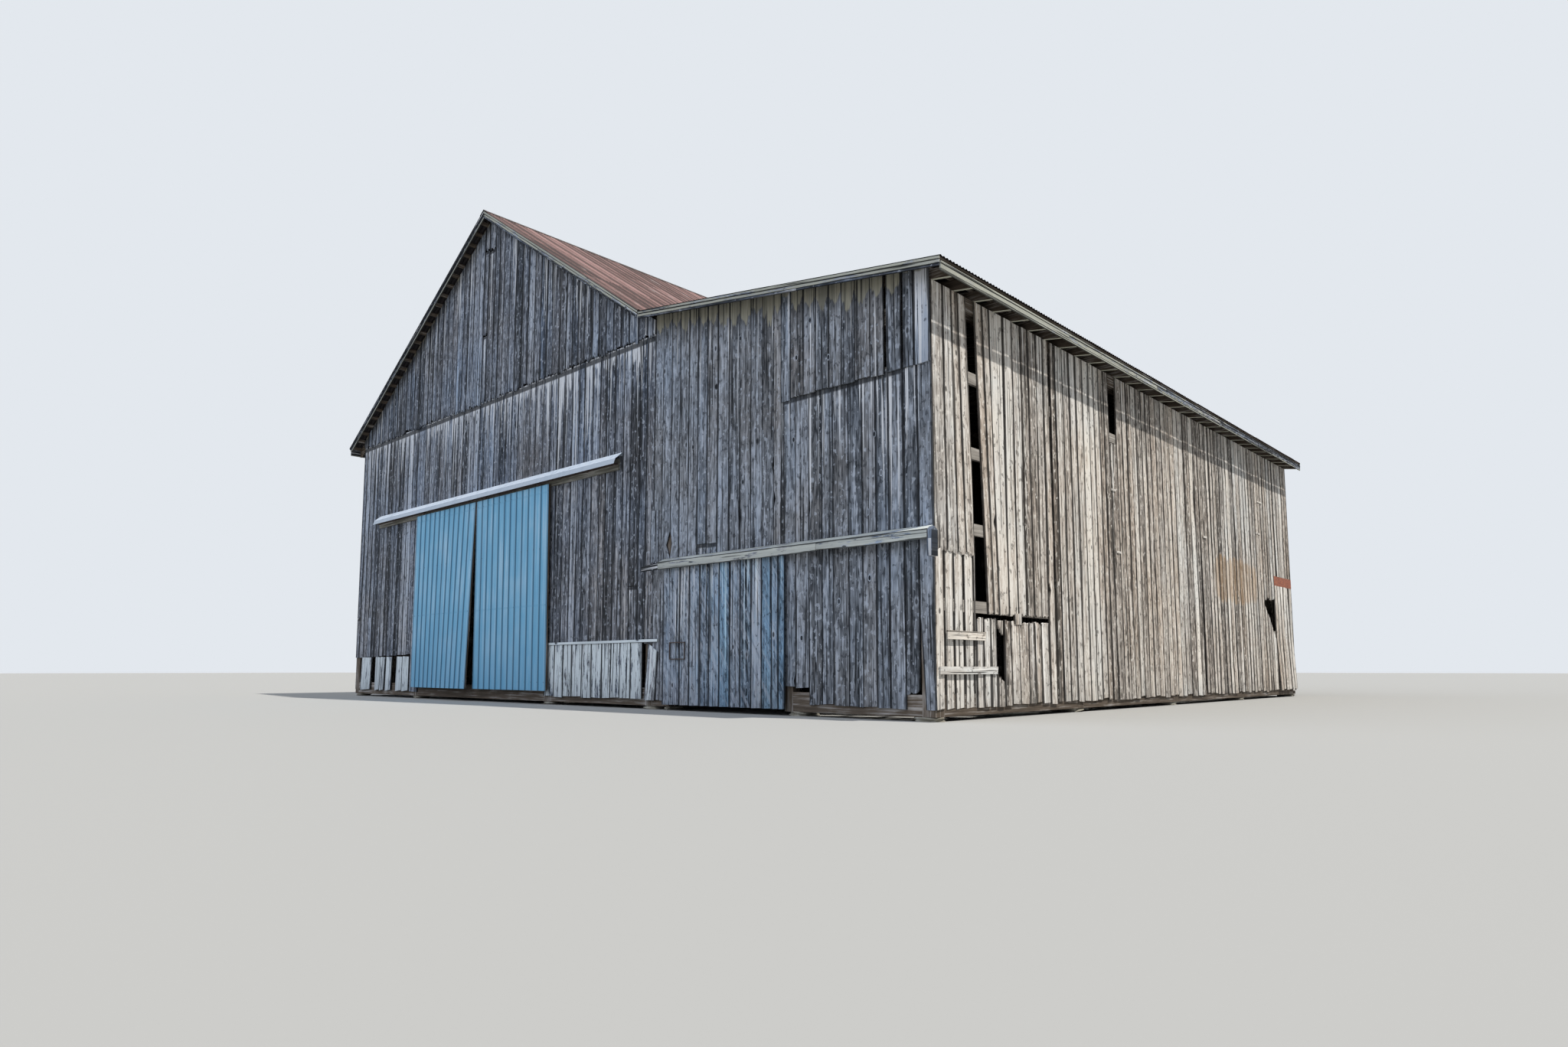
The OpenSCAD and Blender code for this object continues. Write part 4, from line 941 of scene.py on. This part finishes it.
    def skirts(self):
        """White boards along the foot of the wall: loose ones on the left, a row on the right."""
        low = end_of("front_skirts", "foot")
        pile = Pile(18, FRONT_FACE)
        for a, b, slant, paint in ((0.40, 0.98, (0.07, 0.06), 0.5), (1.27, 1.52, (0, 0.04), 0.65),
                                   (1.53, 1.78, (0.04, 0.04), 0.55),
                                   (1.86, 2.17, (0.02, 0.03), 0.5),
                                   (2.43, 2.76, (0.03, 0), 0.65), (2.78, 3.12, (0, 0), 0.55)):
            pile.board(a, b, (low, low + 0.03), (0.975, 0.965), out=0.02, thick=0.02, slant=slant,
                       paint=paint, tone=0.6, line=0.6)
        pile.wall(pile.courses((8.95, 11.95), 0.3), low, 1.12, 0.01, 0.03, out=0.02, thick=0.02,
                  paint=0.5, wander=0.014, line=1.0, tone=-0.6)
        pile.board(12.02, 12.3, low, (1.1, 0.95), out=0.022, thick=0.02, slant=(0.1, 0.07),
                   paint=0.4, line=1.0)
        pile.board(0, 0.045, 0, 3.43, face_at(8.94, 0, 1.17, -Z, X, -Y), out=0.038, thick=0.036,
                   paint=1.0, line=0)
        pile.finish("skirt_boards", "skirt", "front_skirts")


# The side walls' boards: width, and how the loose, single and pale ones lie
SIDE_BOARD_W = 0.225
LOOSE = {"warp": 0.005, "gap": 0.016, "uneven": 0.7, "wander": 0.02, "tones": (0.2, 0.65),
         "lines": (0.5, 1.8)}
SINGLE = {"warp": 0.005, "line": 1.0}
PALE = {"tone": 2.2, "hue": 0.2}
SIDE_FOOT = end_of("right_wall_corner", "foot")
SIDE_TOP = end_of("right_wall_corner", "head")
# The slit: its lower and upper edge, and where the boards run past it
SLIT_LOW, SLIT_HIGH = 1.34, 1.435
SLIT_END = end_of("right_wall_low", "back") - 0.065


class BARN_OT_sides(Step, bpy.types.Operator):
    """Boards the right, left and back walls"""
    bl_idname = "barn.sides"
    bl_label = "Side and back walls"

    def execute(self, context):
        self.near_corner()
        self.middle()
        self.rear()
        self.battens()
        self.hidden_sides()
        return {"FINISHED"}

    def near_corner(self):
        """Boards near the front corner, up to the gap where one is missing, and the low ones
        under the slit."""
        low = SIDE_FOOT
        gap0 = end_of("right_wall_corner", "back")
        pile = Pile(21, RIGHT_FACE)
        for a, b, c, d in ((BOARD_T, 0.305, 0.0, -0.015), (0.33, 0.565, -0.02, -0.06),
                           (0.585, 0.76, -0.07, -0.10), (0.785, 0.985, -0.12, -0.125)):
            pile.board(a, b, (2.19, 2.16), SIDE_TOP, slant=(c, d), torn=(0.05, 0), tone=0.5,
                       **SINGLE)
        for a, b, own in ((BOARD_T, 0.215, -0.002), (0.27, 0.46, -0.018), (0.49, 0.69, -0.018),
                          (0.73, 0.935, -0.018), (0.965, gap0, -0.018)):
            pile.board(a, b, (low, low + 0.02), (2.26, 2.27), out=own, tone=1.3, hue=0.0, **SINGLE)
        pile.finish("side_boards_corner", "side", "right_wall_corner")
        pile = Pile(22, RIGHT_FACE)
        torn_tops = {"torn": (0, 0.05), **LOOSE}
        pile.wall([gap0, 1.16, 1.34, 1.51], low, SLIT_LOW + 0.03, tone=1.0, **torn_tops)
        pile.board(1.52, 1.70, low, (0.62, 0.5), torn=(0, 0.08), **SINGLE)
        pile.board(1.52, 1.68, (1.27, 1.1), SLIT_LOW, torn=(0.1, 0), **SINGLE)
        pile.wall(pile.courses((1.71, SLIT_END), SIDE_BOARD_W), low, SLIT_LOW + 0.02, rough=0.05,
                  **torn_tops)
        pile.board(2.0, 2.2, 1.3, SLIT_HIGH + 0.02, out=0.01, **SINGLE)
        pile.finish("side_boards_low", "side", "right_wall_low")

    def middle(self):
        """The boards over the slit and the ones beyond it, up to the split."""
        near_edge = [(v.co.z, v.co.y - FRONT) for v in NODES["right_wall_middle"].data.vertices]
        gap1 = min(y for z, y in near_edge if SIDE_FOOT < z < 2)
        shift = min(y for z, y in near_edge) - gap1
        pile = Pile(23, RIGHT_FACE)
        for a, b, c, d, own in ((gap1 + 0.005, 1.445, shift, shift + 0.04, {"hue": -1.2}),
                                (1.46, 1.585, shift + 0.05, shift + 0.08,
                                 {"nicks": [(1, 2.7, 0.12, 0.05)]}),
                                (1.60, 1.85, shift + 0.09, -0.02, PALE),
                                (1.875, 2.11, -0.005, -0.01, PALE)):
            pile.board(a, b, (SLIT_HIGH - 0.03, SLIT_HIGH - 0.01), SIDE_TOP, slant=(c, d),
                       torn=(0.02, 0), **SINGLE, **own)
        pile.wall([2.115, 2.36, 2.60, 2.81, SLIT_END], SLIT_HIGH - 0.02, SIDE_TOP, torn=(0.04, 0),
                  **LOOSE)
        edges = [SLIT_END, 3.25, 3.465, 3.69, 3.92, 4.15, 4.4, 4.62, 4.82, 5.02, 5.21,
                 end_of("right_wall_rear", "front")]
        pile.wall(edges, SIDE_FOOT, SIDE_TOP, rough=0.05,
                  special=((4.5, PALE), (4.9, {"tone": 1.0}), (3.3, {"hue": -1.0})),
                  nicks=((3.1, 0, 1.85, 0.12, 0.05), (3.1, 0, 3.5, 2.0, 0.02)), **LOOSE)
        pile.finish("side_boards_middle", "side", "right_wall_middle")

    def rear(self):
        """The rear half with its split and its broken hole, and the corner beyond the hole."""
        low, top, w = SIDE_FOOT, SIDE_TOP, SIDE_BOARD_W
        split0, split1, split_z = end_of("right_wall_rear", "front"), 5.69, 4.58
        hole1 = end_of("right_wall_rear", "back")
        hole0 = hole1 - 0.8
        hole_foot = through((hole0, 2.23), (hole1, 1.39))
        pile = Pile(24, RIGHT_FACE)
        pile.wall([split0, split1], low, split_z, torn=(0, 0.06), **LOOSE)
        edges = pile.courses((split1, 8.11, 9.11), w) + pile.courses((9.38, 10.07, 11.78, hole0), w)
        pile.wall(edges, low, top, rough=0.05,
                  special=((9.2, PALE), (6.9, {"tone": 1.2}), (8.0, {"line": 1.0}),
                           (8.2, {"line": 1.0})),
                  nicks=((9.2, 1, 4.1, 0.5, 0.05), (8.0, 1, 3.3, 1.2, 0.02),
                         (11.9, 0, 3.4, 1.0, 0.03), (6.0, 0, 3.4, 0.6, 0.02)), **LOOSE)
        edges = pile.courses((hole0, hole1), 0.2)
        pile.wall(edges, 2.24, top, rough=0.09, torn=(0.05, 0), **LOOSE)
        pile.wall(edges, low, hole_foot, rough=0.05, torn=(0, 0.05), **LOOSE)
        # Ends of old iron straps and patches that stand out of the boards, drawn very pale, partly a
        # painted glint of the sun on the metal
        for y, z, wide in ((5.39, 3.72, 0.16), (5.5, 2.65, 0.16), (9.75, 3.36, 0.2),
                           (13.25, 3.82, 0.3), (13.45, 4.59, 0.36)):
            pile.board(y, y + wide, z, z + 0.035, out=0.016, thick=0.016, tone=3.0, line=0.0)
        pile.finish("side_boards_rear", "side", "right_wall_rear")
        pile = Pile(25, RIGHT_FACE)
        flash_z0, flash_z1 = [end_of("corner_flashing", side) for side in ("foot", "head")]
        edges = pile.courses((hole1, DEPTH - BOARD_T), w)
        pile.wall(edges, flash_z1, top, rough=0.0, **LOOSE)
        pile.board(hole1, DEPTH - BOARD_T, flash_z0, flash_z1, out=-0.006, thick=0.015, warp=0.0)
        pile.wall(edges, low, flash_z0, rough=0.05, kick=0.04, tone=1.2, **LOOSE)
        pile.finish("side_boards_rear_corner", "side", "right_wall_rear_corner")

    def battens(self):
        """The two level battens nailed over the boards at the near corner."""
        pile = Pile(26)
        for y0, y1, z0, z1 in ((0.26, 1.19, 1.05, 1.165), (0.085, 1.49, 0.60, 0.70)):
            pile.board(0, z1 - z0, 0, (y1 - y0, y1 - y0 - 0.02), face_at(WIDTH, y0, z1, -Z, Y, X),
                       out=0.022, thick=0.022, tone=1.8, line=0)
        pile.finish("side_battens_old", "side", "side_battens")

    def hidden_sides(self):
        """The left and back walls, which repeat the boards of the others with closed joints."""
        tight = {"warp": 0.004, "gap": 0.003, "rough": 0.05}
        for seed, face, stops, top, name, node in (
                (27, LEFT_FACE, (BOARD_T, DEPTH - BOARD_T), end_of("left_wall", "head"),
                 "left_boards", "left_wall"),
                (28, BACK_FACE, (WIDTH - BLOCK_W, WIDTH - RIDGE_X, WIDTH),
                 lambda u: gable_top(WIDTH - u), "back_boards", "back_wall"),
                (29, BACK_FACE, (0, WIDTH - BLOCK_W), lambda u: lean_top(WIDTH - u),
                 "back_boards_lean_to", "back_wall_lean_to")):
            pile = Pile(seed, face)
            # The left and back walls take the side's colours, which have painted sunlight in them
            pile.wall(pile.courses(stops, SIDE_BOARD_W), SIDE_FOOT, top, **tight)
            pile.finish(name, "side", node)


class BARN_OT_roof(Step, bpy.types.Operator):
    """Lays the corrugated sheets"""
    bl_idname = "barn.roof"
    bl_label = "Roof sheets"

    def execute(self, context):
        s = context.scene.barn_sizes
        y0, y1 = end_of("left_roof", "front"), end_of("left_roof", "back")
        for seed, node, slope in zip((31, 32, 33), ("left_roof", "right_roof", "lean_to_roof"),
                                     SLOPES):
            eave, ridge = sorted(slope, key=lambda end: end[2])
            run = np.array([ridge[0] - eave[0], 0, ridge[1] - eave[1]])
            tall = np.linalg.norm(run)
            up = run / tall
            across, start = (-Y, y1) if up[0] > 0 else (Y, y0)
            face = face_at(eave[0], start, eave[1], across, up, np.cross(across, up))
            pile = Pile(seed, face)
            self.sheets(s, pile, y1 - y0, tall)
            pile.finish(node + "_sheets", "roof", node, smooth=True)
        return {"FINISHED"}

    def sheets(self, s, pile, wide, tall):
        """Rows of sheets from the eave up, each lapping over the one below it."""
        rng = pile.rng
        count = round(wide / s.sheet_w)
        step = wide / count
        rows = max(1, round(tall / 2.6))
        reach = (tall + s.sheet_lap * (rows - 1)) / rows
        for row in range(rows):
            low = row * (reach - s.sheet_lap)
            for k in range(count):
                foot = low + (rng.uniform(0, 0.02) if row else rng.uniform(0.012, 0.02))
                rest = 0.0008 + 0.0014 * ((row + k) % 2) + 0.001 * row
                self.sheet(s, pile, k * step, (k + 1) * step, foot, min(tall, low + reach), rest)

    def sheet(self, s, pile, a, b, low, high, rest):
        """One corrugated sheet, its troughs resting at a height over the laths."""
        rng = pile.rng
        start, over, up, away = pile.face
        per_wave, rows, sheet_t, most_sag = 8, 4, 0.0006, 0.0006
        cols = round((b - a) / s.ridge_pitch) * per_wave + 1
        seed = rng.uniform(0, 50)
        tone = rng.normal(0, 0.5)
        deep = s.ridge_depth / 2
        sag = rng.uniform(-most_sag, most_sag, rows)
        points, data = [], []
        for layer in (0, 1):
            for r in range(rows):
                v = low + (high - low) * r / (rows - 1)
                for c in range(cols):
                    u = a + (b - a) * c / (cols - 1)
                    crest = -math.cos(2 * math.pi * c / per_wave)
                    out = rest + deep + deep * crest + sag[r] + sheet_t * layer
                    points.append(start + over * u + up * v + away * out)
                    # The crest value paints highlights on the crests and shade in the troughs, and
                    # the lower layer is painted near black as shade
                    data.append([u + seed, v, seed, tone, seed, crest, high - v, v - low,
                                 layer, min(u - a, b - u), 0, 0])
        pile.add(points, shell(rows, cols), data)


class BARN_OT_trim(Step, bpy.types.Operator):
    """Fixes the rake and eave boards with their upper strips"""
    bl_idname = "barn.trim"
    bl_label = "Rake and eave boards"

    def execute(self, context):
        self.rakes()
        self.eaves()
        return {"FINISHED"}

    def rakes(self):
        """Three strips along each edge of the roof. The left slope's are bare and dark, with the
        rake's shade painted in, and the right slope's lowest strip is painted dark as the shadow line
        under the rake.
        """
        y0, y1 = end_of("rake_boards", "front"), end_of("rake_boards", "back")
        strips = ((0.002, 0.044, 0.008), (0.048, 0.094, -0.004), (0.096, 0.128, -0.006))
        # The left slope's dark tones and the right slope's dark lowest strip are painted shade
        bare = ((0.0, -2.6), (0.0, -2.6), (0.5, 0.8))
        painted = ((0.6, 1.0), (0.55, 0.6), (0.0, -1.8))
        pile = Pile(51)
        for slope in SLOPES:
            x0 = max(slope[0][0], end_of("rake_boards", "left"))
            x1 = min(slope[1][0], end_of("eave_boards", "right"))
            under = through(*slope)
            a, b = np.array([x0, 0, under(x0)]), np.array([x1, 0, under(x1)])
            tall = np.linalg.norm(b - a)
            along = (b - a) / tall
            down = np.array([along[2], 0, -along[0]])
            for y, out, (x, _, z), way in ((y0, -Y, a, along), (y1, Y, b, -along)):
                face = face_at(x, y, z, down, way, out)
                looks = bare if slope is SLOPES[0] else painted
                for (top, foot, proud), (paint, tone) in zip(strips, looks):
                    joints = pile.courses((0.004, tall - 0.004), 3.9, 0.25)
                    for low, high in zip(joints[:-1], joints[1:]):
                        pile.board(top, foot, low, high - 0.003, face, out=proud, thick=0.02,
                                   warp=0.0015, line=0.3, tone=tone + pile.rng.normal(0, 0.5),
                                   paint=paint + pile.rng.uniform(-0.15, 0.1))
        pile.finish("rake_boards_old", "trim", "rake_boards")

    def eaves(self):
        """Three strips along each eave. The left eave's upper one reaches up to the sheets."""
        left, right, y0, y1 = [end_of("eave_boards", side)
                               for side in ("left", "right", "front", "back")]
        pile = Pile(52)
        for x, start, way, out, reach in ((right, y0, Y, X, 0.0), (left, y1, -Y, -X, -0.043)):
            top = max(v.co.z for v in NODES["eave_boards"].data.vertices
                      if abs(v.co.x - LEFT - x) < 0.03)
            face = face_at(x, start, top, -Z, way, out)
            for above, below, proud, thick, paint in ((0.034, 0.1, -0.002, 0.021, 0.65),
                                                      (0.102, 0.126, -0.004, 0.019, 1.1),
                                                      (reach, 0.03, 0.004, 0.026, 0.6)):
                joints = pile.courses((0, y1 - y0), 3.6, 0.25)
                for k, (a, b) in enumerate(zip(joints[:-1], joints[1:])):
                    pile.board(above, below, a, b - 0.004, face, out=proud, thick=thick,
                               warp=0.002, line=0.2, paint=paint - 0.16 * k, tone=1.6 - 0.8 * k,
                               hue=-0.6)
        pile.finish("eave_boards_old", "trim", "eave_boards")


class BARN_OT_doors(Step, bpy.types.Operator):
    """Boards the stable door and its track cover, and sets the screws in the steel doors"""
    bl_idname = "barn.doors"
    bl_label = "Doors"

    def execute(self, context):
        edge, right, front, foot, head = [
            end_of("stable_door_boards", side)
            for side in ("left", "right", "front", "foot", "head")]
        # Measured from the left: tone, hue and share of stain left on each plank
        planks = ((12.987, 0.2, 0.6, 0.15), (13.226, 0.0, 0.2, 0.1), (13.474, 1.1, 0.4, 0.2),
                  (13.698, -0.9, 0.6, 0.35), (13.931, 1.1, 0.5, 0.4), (14.173, 0.2, 0.8, 0.95),
                  (14.40, 0.3, 0.5, 0.2), (14.637, -0.9, 0.7, 0.5), (14.858, 1.3, 0.2, 0.15),
                  (15.062, 0.2, 0.8, 0.95), (15.2, 0.9, 0.6, 0.6), (right, 0.2, 0.8, 0.9))
        pile = Pile(61, FRONT_FACE)
        for end, tone, hue, paint in planks:
            pile.board(edge + 0.004, end - 0.004, (foot, foot + 0.008), head - 0.001,
                       out=-front - 0.002, thick=0.022, warp=0.0015, tone=tone, hue=hue,
                       paint=paint, line=0.9)
            edge = end
        pile.finish("stable_door_planks", "stable", "stable_door_boards", body="stable_door")
        self.cover()
        for side in ("left", "right"):
            self.screws(side)
        return {"FINISHED"}

    def cover(self):
        """The boxed cover of the stable door's track: boards along it, a worn tip on the left and
        a bracket with a pointed head past the corner."""
        node = "stable_track_cover"
        tip_x, front, low = end_of(node, "left"), end_of(node, "front"), end_of(node, "foot")
        zs = [v.co.z for v in NODES[node].data.vertices if v.co.x - LEFT < WIDTH - 0.1]
        foot, top = min(zs), max(zs)
        start, joint, fall = 12.5, 16.0, 0.07
        tall = top - fall - foot
        face = face_at(0, 0, top - fall, -Z, X, -Y)
        pile = Pile(62)
        for a, b, shift in ((start, joint - 0.003, 0.0), (joint + 0.003, WIDTH, 0.003)):
            nick = ((1, a + 0.1, 0.5, 0.02),) if shift else ()
            pile.board(shift, tall, a, b, face, out=-front, thick=0.02, warp=0.001, paint=0.55,
                       line=0.9, tone=0.8, nicks=nick)
        deep = math.hypot(front, fall)
        run = np.array([0, front, -fall]) / deep
        pile.board(0.0, deep - 0.002, start, WIDTH, face_at(0, 0, top, run, X, np.cross(X, -run)),
                   out=-0.002, thick=0.018, warp=0.001, paint=0.5, tone=0.5)
        pile.board(tall * 0.35, tall, tip_x, start - 0.004, face, out=-front - 0.002, thick=0.016,
                   slant=(-tall * 0.3, 0.0), tone=-3.0, hue=-1.5, line=0.6)
        middle = (front - 0.02) / 2
        shoulder = top - 0.088
        for a, b, ends in ((front, middle, (shoulder + 0.001, shoulder + 0.05)),
                           (middle, -0.02, (shoulder + 0.05, shoulder + 0.001))):
            pile.board(a, b, shoulder, ends, RIGHT_FACE, out=0.078, thick=0.076, warp=0.0,
                       tone=0.0, line=0.0, hue=0.3)
        for bottom, head, tone in ((low, foot, -0.6), (foot, shoulder, 1.0)):
            pile.board(WIDTH + 0.002, WIDTH + 0.078, bottom, head, FRONT_FACE, out=-front,
                       thick=-front - 0.02, warp=0.0, tone=tone, hue=0.5, line=0.2)
        pile.finish("track_cover_boards", "cover", node)

    def screws(self, side):
        """Hexagon heads on the pans of a leaf, in four level rows."""
        tree = BVHTree.FromObject(NODES[side + "_door_sheet"],
                                  bpy.context.evaluated_depsgraph_get())
        low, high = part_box(side + "_door_sheet")
        inset, in_row, head_r = 0.07, 13, 0.007
        pile = Pile(71)
        for z in (0.42, 1.9, 3.0, 4.12):
            for x in np.linspace(low.x + inset, high.x - inset, in_row):
                hit, normal, _, _ = tree.ray_cast(Vector((x, low.y - 1, z)), Vector((0, 1, 0)))
                if hit is None or abs(normal.x) > 0.3:
                    continue
                points = [tuple(hit + Vector((head_r * math.cos(a), -d, head_r * math.sin(a))))
                          for d in (-0.001, 0.004) for a in np.arange(6) * math.pi / 3]
                pile.add(points, prism(6), np.zeros((12, 12)))
        piece = pile.finish(side + "_door_screws", "iron", body=side + "_door")


class BARN_OT_stage(Step, bpy.types.Operator):
    """Sets the pale floor, the soft light, the background and the camera"""
    bl_idname = "barn.stage"
    bl_label = "Stage"

    def execute(self, context):
        scene = context.scene
        bpy.ops.mesh.primitive_plane_add(size=400, location=(0, 0, 0))
        floor = context.active_object
        floor.name = "studio_floor"
        floor.data.materials.append(Look("Pale floor").finish(linear("#9e9e9c"), 0.9, specular=0.1))
        scene.world = bpy.data.worlds.new("Soft studio")
        scene.world.use_nodes = True
        tree = scene.world.node_tree
        tree.nodes.clear()
        rays = [put(tree, "ShaderNodeLightPath", out=name)
                for name in ("Is Camera Ray", "Is Glossy Ray", "Is Transmission Ray")]
        seen = put(tree, "ShaderNodeMath", {0: rays[0], 1: rays[1]}, operation="MAXIMUM")
        seen = put(tree, "ShaderNodeMath", {0: seen, 1: rays[2]}, operation="MAXIMUM")
        light = put(tree, "ShaderNodeBackground", {"Color": linear("#e9f0fa"), "Strength": 0.3})
        back = put(tree, "ShaderNodeBackground", {"Color": linear("#e3e8ee"), "Strength": 1.0})
        both = put(tree, "ShaderNodeMixShader", {0: seen, 1: light, 2: back})
        tree.links.new(both, tree.nodes.new("ShaderNodeOutputWorld").inputs["Surface"])
        # A crisp key light over the right side and a very soft fill over the front
        for name, energy, angle, tint, towards in (
                ("key_light", 4.2, 1.2, "#fffaf2", (0.45, 0.12, 0.88)),
                ("fill_light", 1.85, 80, "#e9f1ff", (-0.25, -0.65, 0.72))):
            sun = bpy.data.lights.new(name, "SUN")
            sun.energy = energy
            sun.angle = math.radians(angle)
            sun.color = linear(tint)
            lamp = bpy.data.objects.new(name, sun)
            lamp.rotation_mode = "QUATERNION"
            lamp.rotation_quaternion = Vector(towards).to_track_quat("Z", "Y")
            scene.collection.objects.link(lamp)
        lens = bpy.data.cameras.new("photo_camera")
        lens.lens = 21.09
        lens.sensor_width = 36
        lens.shift_y = 0.0346
        lens.clip_end = 1000
        camera = bpy.data.objects.new("photo_camera", lens)
        camera.location = (15.51, -17.625, 0.66)
        camera.rotation_euler = Euler((math.radians(90 + 5.716), 0, math.radians(43.363)))
        scene.collection.objects.link(camera)
        scene.camera = camera
        scene.view_settings.view_transform = "Standard"
        return {"FINISHED"}


STEPS = [BARN_OT_stage, BARN_OT_materials, BARN_OT_timber, BARN_OT_front, BARN_OT_sides,
         BARN_OT_roof, BARN_OT_trim, BARN_OT_doors]


class BARN_PT_panel(bpy.types.Panel):
    """Lists the barn's steps, sizes and finishes"""
    bl_idname = "BARN_PT_panel"
    bl_label = "Barn"
    bl_space_type = "VIEW_3D"
    bl_region_type = "UI"
    bl_category = "Barn"

    def draw(self, context):
        for step in STEPS:
            self.layout.operator(step.bl_idname)
        for group in (context.scene.barn_sizes, context.scene.barn_finishes):
            box = self.layout.box()
            for name in group.__annotations__:
                box.prop(group, name)


CLASSES = (BarnSizes, BarnFinishes, *STEPS, BARN_PT_panel)


def register():
    for kind in CLASSES:
        bpy.utils.register_class(kind)
    bpy.types.Scene.barn_sizes = bpy.props.PointerProperty(type=BarnSizes)
    bpy.types.Scene.barn_finishes = bpy.props.PointerProperty(type=BarnFinishes)


def unregister():
    del bpy.types.Scene.barn_sizes
    del bpy.types.Scene.barn_finishes
    for kind in reversed(CLASSES):
        bpy.utils.unregister_class(kind)


def main():
    register()
    for step in STEPS:
        group, name = step.bl_idname.split(".")
        getattr(getattr(bpy.ops, group), name)()


if __name__ == "__main__":
    main()
